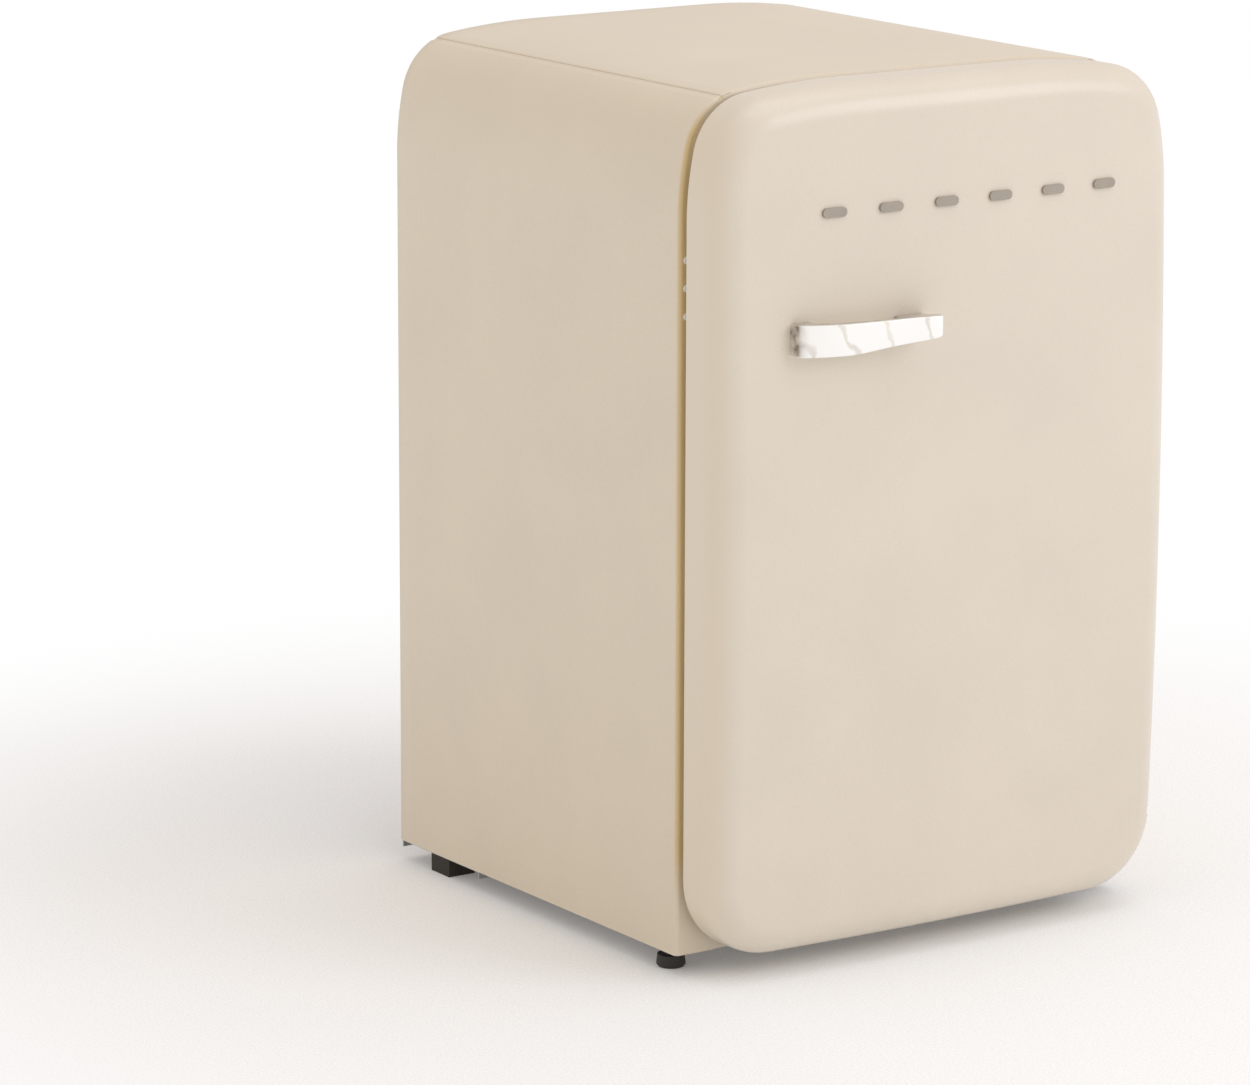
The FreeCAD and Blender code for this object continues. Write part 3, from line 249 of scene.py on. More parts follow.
def painted_gap_shade(tree, colour):
    """Painted shade: the front face goes golden brown near its rim, where the door's edge stands over it."""
    place = add(tree, "ShaderNodeSeparateXYZ")
    tree.links.new(place_of(tree), place.inputs["Vector"])
    near = ranged(tree, place.outputs["Y"], FRONT + BEND, FRONT + 1 * MM)
    height = place.outputs["Z"]
    upright = product(tree, ranged(tree, height, 0.06, 0.13), ranged(tree, height, 0.832, 0.79))
    corner = SHOULDER_RADII[1]
    crown_top = TOP - 5 * MM
    sideways = maths(tree, "ABSOLUTE", place.outputs["X"])
    across = maths(tree, "MAXIMUM", maths(tree, "SUBTRACT", sideways, HALF - corner), 0)
    upward = maths(tree, "MAXIMUM", maths(tree, "SUBTRACT", height, crown_top - corner), 0)
    squares = maths(tree, "ADD", product(tree, across, across), product(tree, upward, upward))
    band = ranged(tree, maths(tree, "SQRT", squares), corner - 18 * MM, corner - 9 * MM)
    rim = spread(tree, band, 0.12, 1.0)
    gap_shade_mask = product(tree, product(tree, near, upright), rim)
    # the golden brown of the painted shade and bounced light in the door gap
    return mixed(tree, gap_shade_mask, colour, (0.93, 0.79, 0.5), "MULTIPLY")


def facing(tree, axis):
    """How squarely the surface faces along an axis, from -1 to 1."""
    parts = add(tree, "ShaderNodeSeparateXYZ")
    normal = tree.nodes.new("ShaderNodeNewGeometry")
    tree.links.new(normal.outputs["Normal"], parts.inputs["Vector"])
    return parts.outputs[axis]


def paler_front_painted_sheen(tree, colour):
    """Painted sheen: a paler cream on the door's broad front. Its shaded left side keeps the body's cream."""
    side = ranged(tree, facing(tree, "X"), -0.25, -0.95)
    return mixed(tree, side, colour, BODY_CREAM)


def marble(name):
    """Polished white stone-look, a few soft grey and ochre veins, and painted shade on tops and left end."""
    material, tree, shader = node_material(name)
    warp = noise(tree, 24, 5)
    shift = add(tree, "ShaderNodeMix", data_type="VECTOR")
    shift.inputs["Factor"].default_value = 0.035
    tree.links.new(place_of(tree), shift.inputs["A"])
    tree.links.new(warp.outputs["Color"], shift.inputs["B"])
    turn = add(tree, "ShaderNodeMapping")
    turn.inputs["Rotation"].default_value = (0.0, 0.28, 0.1)
    tree.links.new(shift.outputs["Result"], turn.inputs["Vector"])
    veins = add(tree, "ShaderNodeTexWave", wave_type="BANDS", bands_direction="X", Scale=8.5, Distortion=3.0,
                Detail=3.0)
    veins.inputs["Detail Scale"].default_value = 1.6
    tree.links.new(turn.outputs["Vector"], veins.inputs["Vector"])
    thin = add(tree, "ShaderNodeValToRGB")
    thin.color_ramp.elements[0].position = 0.0
    thin.color_ramp.elements[0].color = (1, 1, 1, 1)
    thin.color_ramp.elements[1].position = 0.06
    thin.color_ramp.elements[1].color = (0, 0, 0, 1)
    tree.links.new(veins.outputs["Fac"], thin.inputs["Fac"])
    fade = noise(tree, 26, 2)
    strength = product(tree, thin.outputs["Color"], spread(tree, fade.outputs["Fac"], 0.05, 0.85))
    tint = blend_colours(tree, noise(tree, 18, 2).outputs["Fac"], srgb(176, 168, 156), srgb(214, 203, 180))
    mix = add(tree, "ShaderNodeMix", data_type="RGBA")
    tree.links.new(strength, mix.inputs["Factor"])
    mix.inputs["A"].default_value = (*srgb(250, 249, 247), 1)
    tree.links.new(tint, mix.inputs["B"])
    # painted shade: greyer where the bar faces up, and where it faces -X at its left end
    shade_on_tops = painted_shade_where(tree, mix.outputs["Result"], "Z", (0.45, 0.95),
                        srgb(150, 138, 122), srgb(178, 168, 154))
    shade_on_left_end = painted_shade_where(tree, shade_on_tops, "X", (-0.5, -0.92), srgb(120, 106, 92), srgb(214, 206, 194))
    tree.links.new(shade_on_left_end, shader.inputs["Base Color"])
    tree.links.new(spread(tree, fade.outputs["Fac"], 0.1, 0.2), shader.inputs["Roughness"])
    shader.inputs["Coat Weight"].default_value = 0.6
    shader.inputs["Coat Roughness"].default_value = 0.05
    return material


def painted_shade_where(tree, colour, axis, span, dark, light):
    """Painted shade: a mottled grey where the surface faces along an axis, over a span of its normal's share.
    """
    share = add(tree, "ShaderNodeMapRange")
    share.inputs["From Min"].default_value, share.inputs["From Max"].default_value = span
    tree.links.new(facing(tree, axis), share.inputs["Value"])
    mottle = noise(tree, 70, 4, 0.6)
    mix = add(tree, "ShaderNodeMix", data_type="RGBA")
    tree.links.new(share.outputs["Result"], mix.inputs["Factor"])
    tree.links.new(colour, mix.inputs["A"])
    tree.links.new(blend_colours(tree, mottle.outputs["Fac"], dark, light, 0.35, 0.62), mix.inputs["B"])
    return mix.outputs["Result"]


def foam(name):
    """Rigid foam with fine closed cells."""
    material, tree, shader = node_material(name)
    cells = add(tree, "ShaderNodeTexVoronoi", Scale=420.0)
    tree.links.new(place_of(tree), cells.inputs["Vector"])
    tree.links.new(blend_colours(tree, cells.outputs["Distance"], srgb(214, 190, 128), srgb(238, 220, 168)),
                   shader.inputs["Base Color"])
    shader.inputs["Roughness"].default_value = 0.9
    bump(tree, shader, cells.outputs["Distance"], 0.5, 0.0006)
    return material


def glass(name):
    """Clear toughened glass with a faint smear, and a green cast."""
    material, tree, shader = node_material(name)
    smear = noise(tree, 7, 3)
    tree.links.new(blend_colours(tree, smear.outputs["Fac"], srgb(196, 216, 208), srgb(212, 228, 221)),
                   shader.inputs["Base Color"])
    tree.links.new(spread(tree, smear.outputs["Fac"], 0.015, 0.06), shader.inputs["Roughness"])
    shader.inputs["Alpha"].default_value = 0.24
    shader.inputs["IOR"].default_value = 1.5
    return material


BODY_CREAM = srgb(220, 208, 188)
# the door's paler cream is a painted sheen: the whitish reflection on its lit front
PALE_SHEEN_CREAM = srgb(221, 211, 196)
MATERIALS = {
    # the body paint carries painted shade: a golden brown on the front face's rim, in the door gap
    "body_paint": enamel("CreamEnamel", BODY_CREAM, 0.42, 0.25, painted_gap_shade),
    # the door paint carries a painted sheen: paler on its front, the body's cream on its shaded side
    "door_paint": enamel("CreamEnamelGloss", PALE_SHEEN_CREAM, 0.38, 0.35, paler_front_painted_sheen),
    "bare_steel": metal("ZincSheet", srgb(186, 187, 186), 0.42, 0),
    "black_steel": enamel("BlackEnamel", srgb(38, 38, 40), 0.45, 0.1),
    "copper_tube": metal("Copper", srgb(196, 122, 84), 0.32, None, 0.16),
    "white_plastic": plastic("WhiteABS", srgb(242, 242, 240), 0.3, mottle=0.015),
    "clear_plastic": plastic("ClearPlastic", srgb(224, 229, 230), 0.1, 300, 0.00003, 0.8),
    "black_plastic": plastic("BlackPlastic", srgb(44, 40, 36), 0.55, 900, 0.0003),
    "black_rubber": plastic("BlackRubber", srgb(46, 40, 33), 0.7, 700, 0.0003),
    # the seal's tan is painted shade: a cream seal as it looks deep in the door gap
    "seal_grey": plastic("SealVinylShadeTan", srgb(178, 150, 108), 0.55, 500, 0.0002),
    "foam": foam("RigidFoam"),
    "clear_glass": glass("ToughGlass"),
    "marble_white": marble("MarbleWhite"),
    "bright_trim": metal("BrightTrim", srgb(172, 163, 152), 0.26, 0, 0.08),
    "ice_aluminium": metal("SatinAluminium", srgb(208, 210, 212), 0.36, 0),
    "lens": plastic("FrostedLens", srgb(246, 246, 240), 0.4, 250, 0.0002, 0.35),
}
SLOT_OF = {entry["node"]: entry["material_slot"] for entry in frame["record"]["subparts"]}


def dress(thing, slot):
    """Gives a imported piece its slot's finish."""
    thing.data.materials.clear()
    thing.data.materials.append(MATERIALS[slot])


for node, thing in frame["nodes"].items():
    dress(thing, SLOT_OF[node])

# ---------------------------------------------------------------- mesh building


def new_object(name, points, faces, slot, body):
    """A smooth mesh piece that rides on a body and takes a record slot's finish."""
    mesh = bpy.data.meshes.new(name)
    mesh.from_pydata([tuple(p) for p in points], [], faces)
    work = bmesh.new()
    work.from_mesh(mesh)
    bmesh.ops.remove_doubles(work, verts=work.verts, dist=1e-7)
    bmesh.ops.recalc_face_normals(work, faces=work.faces)
    work.to_mesh(mesh)
    work.free()
    thing = bpy.data.objects.new(name, mesh)
    bpy.context.scene.collection.objects.link(thing)
    mesh.materials.append(MATERIALS[slot])
    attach(thing, body)
    mesh.shade_smooth()
    return thing


def sharpen(thing, degrees):
    """Smooth shading, apart from edges that turn by more than this."""
    thing.data.shade_smooth()
    thing.data.set_sharp_from_angle(angle=math.radians(degrees))


def rings_to_faces(count, length, loop=True):
    """Quads between `count` closed rings of `length` points each. The last ring meets the first in a loop."""
    faces = []
    for i in range(count if loop else count - 1):
        a, b = i * length, ((i + 1) % count) * length
        for j in range(length):
            k = (j + 1) % length
            faces.append((a + j, a + k, b + k, b + j))
    return faces


def steps(low, high, count):
    """Evenly spread values from low to high, both included."""
    return [low + (high - low) * i / count for i in range(count + 1)]


# ---------------------------------------------------------------- the outline of cabinet and door

DOOR_CORNER = 75 * MM


class Outline:
    """Stations round the shared outline. Each is (centre x, centre z, radius, angle of its normal)."""

    def __init__(self, top):
        low, mid, high = SHOULDER_RADII
        a, b = (math.radians(v) for v in SHOULDER_ANGLES[:2])
        x1 = HALF - low
        x2 = x1 + (low - mid) * math.cos(a)
        x3 = x2 + (mid - high) * math.cos(b)
        z3 = top - high
        z2 = z3 - (mid - high) * math.sin(b)
        z1 = z2 - (low - mid) * math.sin(a)
        self.arcs = ((x1, z1, low), (x2, z2, mid), (x3, z3, high))

    def arc(self, index, start, end, count):
        x, z, radius = self.arcs[index]
        return [(x, z, radius, angle) for angle in steps(start, end, count)]

    def side(self, low, count=24):
        """Up the straight side from a height."""
        radius = self.arcs[0][2]
        return [(HALF - radius, z, radius, 0.0) for z in steps(low, self.arcs[0][1], count)]

    def shoulder(self, start, end):
        """From one normal angle to another over the three arcs."""
        stations = []
        bounds = (0.0,) + SHOULDER_ANGLES
        for index, count in enumerate((8, 28, 10)):
            low, high = max(start, bounds[index]), min(end, bounds[index + 1])
            if high > low:
                share = (high - low) / (bounds[index + 1] - bounds[index])
                stations += self.arc(index, low, high, max(2, round(count * share)))
        return tidy(stations)

    def flat_top(self):
        x, z, radius = self.arcs[2]
        return [(u, z, radius, 90.0) for u in steps(x, -x, 16)]


def tidy(stations):
    """Drops a station that repeats the place of the one before it."""
    kept = []
    for station in stations:
        if not kept or (Vector(at(station, 0)) - Vector(at(kept[-1], 0))).length > 1e-6:
            kept.append(station)
    return kept


def at(station, inset):
    """The place that lies an inset in from the outline, along a station's normal."""
    x, z, radius, angle = station
    radians = math.radians(angle)
    return (x + (radius - inset) * math.cos(radians), z + (radius - inset) * math.sin(radians))


def mirrored(stations):
    """The same stations on the other side, in walking order."""
    return [(-x, z, radius, 180 - angle) for x, z, radius, angle in reversed(stations)]


cabinet_line = Outline(TOP)
door_line = Outline(DOOR_TOP)

# ---------------------------------------------------------------- cabinet skins

SHEET = 0.8 * MM

# The seam, in degrees of the shoulder's normal: where the side starts to sink, where the top panel's edge
# lies over it, and where the flange under that panel ends. Then how far the side sinks and over how many
# degrees, and the same for the rolled edge of the top panel.
SEAM_LOW, SEAM_HIGH, FLANGE_END = 61.5, 68.7, 78.0
SEAM_STEP, SEAM_RUN = 0.9 * MM, 3.6
ROLL_STEP, ROLL_RUN = 0.38 * MM, 1.2


def sunk(stations, depth_at):
    """The stations moved in by a depth that depends on their angle."""
    return [(x, z, radius - depth_at(angle), angle) for x, z, radius, angle in stations]


def soft_step(value, start, run):
    """From 0 before start to 1 after start + run, with no corner."""
    t = min(1.0, max(0.0, (value - start) / run))
    return t * t * (3 - 2 * t)


def panel_path():
    """The sheet's section from its front return round the bend and back: (inset, y) pairs, closed."""
    path = [(e, FRONT) for e in steps(WALL, BEND, 10)]
    path += [(BEND * (1 - math.sin(t)), FRONT + BEND * (1 - math.cos(t))) for t in
             steps(0, math.pi / 2, 10)[1:]]
    path += [(0.0, y) for y in steps(FRONT + BEND, BACK - SHEET, 24)[1:]]
    path += [(SHEET / 2, BACK), (SHEET, BACK - SHEET / 2)]
    path += [(SHEET, y) for y in steps(BACK - SHEET, FRONT + BEND, 24)[1:]]
    path += [(BEND * (1 - math.sin(t)) + SHEET * math.sin(t), FRONT + BEND - (BEND - SHEET) * math.cos(t))
             for t in steps(math.pi / 2, 0, 10)[1:]]
    path += [(e, FRONT + SHEET) for e in steps(BEND, WALL, 10)[1:]]
    return path


def past_mouth(x, z):
    """How far a place lies outside the cabinet's round-cornered mouth. It is negative inside."""
    if z < liner_low.z:
        return abs(x) - liner_high.x
    middle, half = (liner_low.z + liner_high.z) / 2, (liner_high.z - liner_low.z) / 2
    u, v = abs(x) - liner_high.x + MOUTH_CORNER, abs(z - middle) - half + MOUTH_CORNER
    return math.hypot(max(u, 0.0), max(v, 0.0)) + min(max(u, v), 0.0) - MOUTH_CORNER


def front_return(station):
    """How far in from the outline the mouth's edge lies, along a station's normal."""
    near, far = BEND, 100 * MM
    for _ in range(40):
        middle = (near + far) / 2
        near, far = (middle, far) if past_mouth(*at(station, middle)) > 0 else (near, middle)
    return near


def swept_panel(name, stations, path, replaced, extra=None):
    """Runs a closed sheet section along an outline, and closes its two ends."""
    points = []
    for station in stations:
        # the front return is laid out for the straight side's wall, and stretched to reach the mouth
        stretch = (front_return(station) - BEND) / (WALL - BEND)
        for inset, y in path:
            x, z = at(station, inset if inset <= BEND else BEND + (inset - BEND) * stretch)
            points.append((x, y, z))
    faces = rings_to_faces(len(stations), len(path), loop=False) + end_caps(len(stations), len(path))
    if extra:
        more_points, more_faces = extra
        faces += [tuple(i + len(points) for i in face) for face in more_faces]
        points += more_points
    thing = new_object(name, points, faces, "body_paint", "cabinet")
    sharpen(thing, 40)
    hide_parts(replaced)
    return thing


def end_caps(count, length):
    """A ladder of quads over each end of a swept sheet, between its outer and inner walks."""
    faces = []
    for first in (0, (count - 1) * length):
        for i in range((length - 1) // 2):
            a, b = first + i, first + length - 1 - i
            if b - a > 1:
                faces.append((a, a + 1, b - 1, b) if b - 1 > a + 1 else (a, a + 1, b))
    return faces


def lapped_flange(stations):
    """The sunk strip that runs on under the top panel's edge."""
    low, high = 0.05 * MM, SHEET
    path = [(low, FRONT + SHEET), (low, BACK), (high, BACK), (high, FRONT + SHEET)]
    points = []
    for station in stations:
        for inset, y in path:
            x, z = at(station, inset)
            points.append((x, y, z))
    last = (len(stations) - 1) * 4
    ends = [(0, 1, 2, 3), (last, last + 1, last + 2, last + 3)]
    return points, rings_to_faces(len(stations), 4, loop=False) + ends


def make_cabinet():
    """Both sides with a sunk flange at the seam, and the top panel that laps it with a rolled edge."""
    path = panel_path()
    round_end = liner_low.z + MOUTH_CORNER
    under_mouth = steps(BASE, liner_low.z - 0.02 * MM, 4)
    beside_corner = [round_end - MOUTH_CORNER * math.cos(math.radians(a)) for a in steps(0, 90, 10)]
    radius = cabinet_line.arcs[0][2]
    right = [(HALF - radius, z, radius, 0.0) for z in under_mouth + beside_corner]
    right += cabinet_line.side(round_end) + cabinet_line.shoulder(0, SEAM_LOW)
    sunk_from = SEAM_LOW + SEAM_RUN
    right += cabinet_line.arc(1, SEAM_LOW, sunk_from, 8) + cabinet_line.arc(1, sunk_from, SEAM_HIGH, 5)
    right = sunk(tidy(right), lambda angle: SEAM_STEP * soft_step(angle, SEAM_LOW, SEAM_RUN))
    flange = sunk(cabinet_line.arc(1, SEAM_HIGH - 0.3, FLANGE_END, 10), lambda angle: SEAM_STEP)
    swept_panel("right_side", right, path, "right_side_panel", lapped_flange(flange))
    swept_panel("left_side", mirrored(right), path, "left_side_panel", lapped_flange(mirrored(flange)))
    roll_end = SEAM_HIGH + ROLL_RUN
    over = cabinet_line.arc(1, SEAM_HIGH, roll_end, 6) + cabinet_line.shoulder(roll_end, 90)
    rolled = sunk(tidy(over), lambda angle: ROLL_STEP * (1 - soft_step(angle, SEAM_HIGH, ROLL_RUN)))
    over = tidy(rolled + cabinet_line.flat_top() + mirrored(rolled))
    swept_panel("top_cover", over, path, "top_panel")


# ---------------------------------------------------------------- door skin

EDGE = 30 * MM  # the round from the front to the sides
HEM = 0.95 * MM  # the small round at the back rim
PLAN_RADIUS = 3.5  # the front's crown from side to side, and the one from bottom to top
RISE_RADIUS = 8.4
DOOR_MIDDLE = (DOOR_LOW + DOOR_TOP) / 2


def door_face(x, z):
    """Where the door's crowned front lies. Its foremost point is in the middle."""
    plan = PLAN_RADIUS - math.sqrt(PLAN_RADIUS ** 2 - x ** 2)
    rise = RISE_RADIUS - math.sqrt(RISE_RADIUS ** 2 - (z - DOOR_MIDDLE) ** 2)
    return DOOR_FRONT + plan + rise


def door_stations():
    """Once round the door, from the middle of its bottom edge."""
    corner = DOOR_CORNER
    right = [(x, DOOR_LOW + corner, corner, -90.0) for x in steps(0, HALF - corner, 12)]
    right += [(HALF - corner, DOOR_LOW + corner, corner, angle) for angle in steps(-90, 0, 28)]
    right += door_line.side(DOOR_LOW + corner, 30) + door_line.shoulder(0, 90)
    x, z, radius = door_line.arcs[2]
    right = tidy(right + [(u, z, radius, 90.0) for u in steps(x, 0, 8)])
    return tidy(right + mirrored(right)[1:-1])


def slope(x, z):
    """How fast the door's front falls back towards +X and towards +Z."""
    above = z - DOOR_MIDDLE
    return x / math.sqrt(PLAN_RADIUS ** 2 - x ** 2), above / math.sqrt(RISE_RADIUS ** 2 - above ** 2)


def door_rings(stations, sink):
    """Rings from the middle of the front out over the round edge to the back rim, sunk by sink."""
    rings = []
    core = [at(s, EDGE) for s in stations]
    for share in steps(0.02, 1.0, 26):
        ring = []
        for x, z in core:
            u, v = x * share, DOOR_MIDDLE + (z - DOOR_MIDDLE) * share
            ring.append((u, door_face(u, v) + sink, v))
        rings.append(ring)
    radius = EDGE - sink
    for share in steps(0, 1, 14):
        ring = []
        for station, (x, z) in zip(stations, core):
            sx, sz = slope(x, z)
            radians = math.radians(station[3])
            start = math.atan(sx * math.cos(radians) + sz * math.sin(radians))
            centre = door_face(x, z) + EDGE * math.sqrt(1 + sx * sx + sz * sz)
            t = start + (math.pi / 2 - start) * share
            u, v = at(station, EDGE - radius * math.sin(t))
            ring.append((u, centre - radius * math.cos(t), v))
        rings.append(ring)
    edge_ring = rings[-1]
    hem = HEM - sink
    rim = DOOR_BACK - HEM
    for share in steps(0, 1, 5)[1:]:
        rings.append([(x, y + (rim - y) * share, z) for x, y, z in edge_ring])
    for t in steps(0, math.pi / 2, 7)[1:]:
        places = [at(s, sink + hem * (1 - math.cos(t))) for s in stations]
        rings.append([(x, rim + hem * math.sin(t), z) for x, z in places])
    return rings


def make_door_skin():
    """The painted shell: a crowned front, a round edge, flat sides and a hemmed rim, open at the back."""
    stations = door_stations()
    outer = door_rings(stations, 0.0)
    inner = door_rings(stations, SHEET)
    rings = outer + inner[::-1]
    length = len(stations)
    points = [p for ring in rings for p in ring]
    faces = rings_to_faces(len(rings), length, loop=False)
    for ring, sink in ((0, 0.0), (len(rings) - 1, SHEET)):
        tip = len(points)
        points.append((0.0, DOOR_FRONT + sink, DOOR_MIDDLE))
        faces += [(ring * length + j, ring * length + (j + 1) % length, tip) for j in range(length)]
    thing = new_object("door_shell", points, faces, "door_paint", "door")
    cut_slots(thing)
    sharpen(thing, 40)
    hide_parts("door_skin")
    return thing


SLOT_TALL, SLOT_DEEP = 11 * MM, 52 * MM
SLOT_AHEAD, SLOT_GAP, SLOT_PAST = 13 * MM, 1 * MM, 10 * MM


def cut_slots(thing):
    """The two slots in the hinge-side edge, beside the bushes that carry the pins."""
    for name, way in (("top_hinge_bush", 1), ("bottom_hinge_bush", -1)):
        low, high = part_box(name)
        base = high.z if way > 0 else low.z - SLOT_TALL
        start, end = low.x - SLOT_GAP, HALF + SLOT_PAST
        size = (end - start, SLOT_DEEP, SLOT_TALL)
        centre = ((start + end) / 2, low.y - SLOT_AHEAD + SLOT_DEEP / 2, base + SLOT_TALL / 2)
        bpy.ops.mesh.primitive_cube_add(size=1, location=centre)
        cutter = bpy.context.object
        cutter.scale = size
        bpy.context.view_layer.update()
        cut = thing.modifiers.new("Slot", "BOOLEAN")
        cut.operation = "DIFFERENCE"
        cut.solver = "EXACT"
        cut.object = cutter
        bpy.context.view_layer.update()
        graph = bpy.context.evaluated_depsgraph_get()
        mesh = bpy.data.meshes.new_from_object(thing.evaluated_get(graph))
        thing.modifiers.clear()
        thing.data = mesh
        bpy.data.objects.remove(cutter)


# ---------------------------------------------------------------- seal

SEAL_BAND = 16 * MM
SEAL_CORNER = 41 * MM
CORNER_STEPS = 12

# the seal's section, as shares of its band and of its depth from the door towards the cabinet
SEAL_SECTION = [
    (0.10, 0.0), (0.90, 0.0), (0.93, 0.10), (0.80, 0.16), (0.78, 0.26), (0.97, 0.42), (1.0, 0.50),
    (0.97, 0.58), (0.86, 0.66), (0.85, 0.72), (0.95, 0.78), (0.985, 0.85), (0.96, 0.95), (0.90, 1.0),
    (0.10, 1.0), (0.04, 0.95), (0.015, 0.85), (0.05, 0.78), (0.15, 0.72), (0.14, 0.66), (0.03, 0.58),
    (0.0, 0.50), (0.03, 0.42), (0.22, 0.26), (0.20, 0.16), (0.07, 0.10)]


def make_gasket():
    """The magnetic seal: a foot in the door, a folding bellows and a flat magnet pocket."""
    low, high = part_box("door_gasket")
    deep = high.y - low.y
    core_x, core_z = (high.x - low.x) / 2 - SEAL_CORNER, (high.z - low.z) / 2 - SEAL_CORNER
    middle_z = (high.z + low.z) / 2
    closed = SEAL_SECTION + SEAL_SECTION[:1]
    section = smooth_line([(a * SEAL_BAND, b * deep) for a, b in closed], 3)[:-1]
    points = []
    corners = ((1, -1, -90), (1, 1, 0), (-1, 1, 90), (-1, -1, 180))
    for way_x, way_z, start in corners:
        for angle in steps(start, start + 90, CORNER_STEPS):
            radians = math.radians(angle)
            for out, y in section:
                reach = SEAL_CORNER - SEAL_BAND + out
                points.append((way_x * core_x + reach * math.cos(radians), low.y + y,
                               middle_z + way_z * core_z + reach * math.sin(radians)))
    faces = rings_to_faces(len(corners) * (CORNER_STEPS + 1), len(section))
    thing = new_object("seal_bellows", points, faces, "seal_grey", "door")
    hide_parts("door_gasket")
    return thing


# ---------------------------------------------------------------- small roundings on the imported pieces

ROUNDED = {
    "bottom_door_rack": 0.7, "middle_door_rack": 0.7, "top_door_rack": 0.7, "crisper_drawer": 0.8,
    "thermostat_housing": 1.2, "thermostat_dial": 0.8, "lamp_lens": 0.4, "door_switch": 0.8,
    "lower_shelf": 0.5, "upper_shelf": 0.5, "crisper_cover": 0.5, "lower_shelf_trim": 0.6,
    "upper_shelf_trim": 0.6, "crisper_cover_trim": 0.6, "ice_box_flap": 0.5, "ice_box": 0.3,
    "trim_bars": 0.9, "rear_feet": 1.2, "front_left_foot": 0.5, "front_right_foot": 0.5,
    "relay_cover": 1.5, "drip_tray": 0.7, "condenser_clips": 0.6, "hinge_hole_plugs": 0.6,
    "top_hinge_bracket": 0.4, "bottom_hinge_bracket": 0.4, "hinge_screws": 0.4, "cord_gland": 0.8,
    "compressor_bolts": 0.5, "compressor_grommets": 0.6, "ice_box_hangers": 0.6,
}


def round_edges():
    """Breaks the sharp edges of moulded and pressed pieces, so that they catch the light."""
    for node, radius in ROUNDED.items():
        bevel = frame["nodes"][node].modifiers.new("SoftEdges", "BEVEL")
        bevel.width = radius * MM
        bevel.segments = 3
        bevel.limit_method = "ANGLE"
        bevel.angle_limit = math.radians(40)
        bevel.harden_normals = True


# ---------------------------------------------------------------- handle


def smooth_line(anchors, count):
    """Points evenly spread along a smooth curve through the anchors (Catmull-Rom)."""
    padded = [anchors[0]] + list(anchors) + [anchors[-1]]
    points = []
    for i in range(1, len(padded) - 2):
        p0, p1, p2, p3 = padded[i - 1:i + 3]
        for k in range(count):
            t = k / count
            points.append(tuple(0.5 * ((2 * b) + (c - a) * t + (2 * a - 5 * b + 4 * c - e) * t * t
                                       + (3 * b - a - 3 * c + e) * t ** 3)
                                for a, b, c, e in zip(p0, p1, p2, p3)))
    points.append(tuple(anchors[-1]))
    return points


SHORT_END = 20.5 * MM  # the bar's height at its right end
POST_FALL = 3.2 * MM  # how far the far post's top falls towards the door
POST_ROOT = 1.5 * MM  # how far both posts reach into the door's skin
BAR_ROUND = 2.4 * MM  # the rounding of its long edges
ROUND_STEPS = 6


def make_handle():
    """A polished bar: broad at its left mount, swelling outwards, tapering to the mount at its right end."""
    low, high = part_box("door_handle")
    left, right, front = low.x, high.x, low.y
    full = high.z - low.z
    middle = (high.z + low.z) / 2
    mount_near, mount_far = left + 22 * MM, right - 32 * MM
    taper = smooth_line([(left, full), (left + 30 * MM, full), (left + 55 * MM, 0.985 * full),
                         (left + 95 * MM, 0.83 * full), (right - 12 * MM, 1.03 * SHORT_END),
                         (right, SHORT_END)], 12)

    def tall(x):
        """The bar's height there."""
        a, b = next(((p, q) for p, q in zip(taper, taper[1:]) if q[0] >= x), taper[-2:])
        return a[1] + (b[1] - a[1]) * (x - a[0]) / (b[0] - a[0])

    def drop(x, y):
        """The far post's top falls away towards the door."""
        return POST_FALL * soft_step(x, mount_far - 8 * MM, 12 * MM) * soft_step(y, front + 4 * MM, 30 * MM)

    def walk(ends, places):
        """A smooth line in plan from post to post. A place is an x, then millimetres past it and the front."""
        line = [(x + dx * MM, front + dy * MM) for x, dx, dy in places]
        roots = [(x, door_face(anchor, middle) + POST_ROOT) for x, anchor in ends]
        return smooth_line([roots[0]] + line + [roots[1]], 7)

    outer = walk(((left + 0.3 * MM, left), (right - 0.2 * MM, right)), (
        (left, 0.5, 34), (left, 3.5, 28.5), (left, 13, 22.5), (left, 27, 17), (left, 45, 12.9), (left, 75, 9),
        (left, 107, 5), (right, -14, 0.9), (right, -5, 0.9), (right, -0.6, 6), (right, -0.2, 18)))
    inner = walk(((mount_near, mount_near), (mount_far, mount_far)), (
        (mount_near, 0.3, 34), (mount_near, 2, 29.5), (mount_near, 7, 26.5), (mount_near, 14, 23.5),
        (left, 47, 20.2), (left, 75, 16.2), (left, 98, 13), (mount_far, -5, 12), (mount_far, -1.2, 13.5),
        (mount_far, 0, 17), (mount_far, 0, 25)))
    points = []
    corners = ((0, True, 180), (1, True, 90), (1, False, 0), (0, False, -90))
    for (xo, yo), (xi, yi) in zip(outer, inner):
        across = Vector((xi - xo, yi - yo))
        width = across.length
        across.normalize()
        r = min(BAR_ROUND, width * 0.45)
        for far_side, top, start in corners:
            for angle in steps(0, 90, ROUND_STEPS):
                turn = math.radians(start - angle)
                u = (width - r if far_side else r) + r * math.cos(turn)
                x, y = xo + across.x * u, yo + across.y * u
                edge = high.z - drop(xo, y) - r if top else high.z - tall(x) + r
                points.append((x, y, edge + r * math.sin(turn)))
    length, count = len(corners) * (ROUND_STEPS + 1), len(outer)
    faces = rings_to_faces(count, length, loop=False)
    faces += [tuple(range(length)), tuple(range((count - 1) * length, count * length))]
    thing = new_object("handle_bar", points, faces, "marble_white", "door")
    sharpen(thing, 50)
    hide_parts("door_handle")
    return thing


# ---------------------------------------------------------------- camera, light and floor

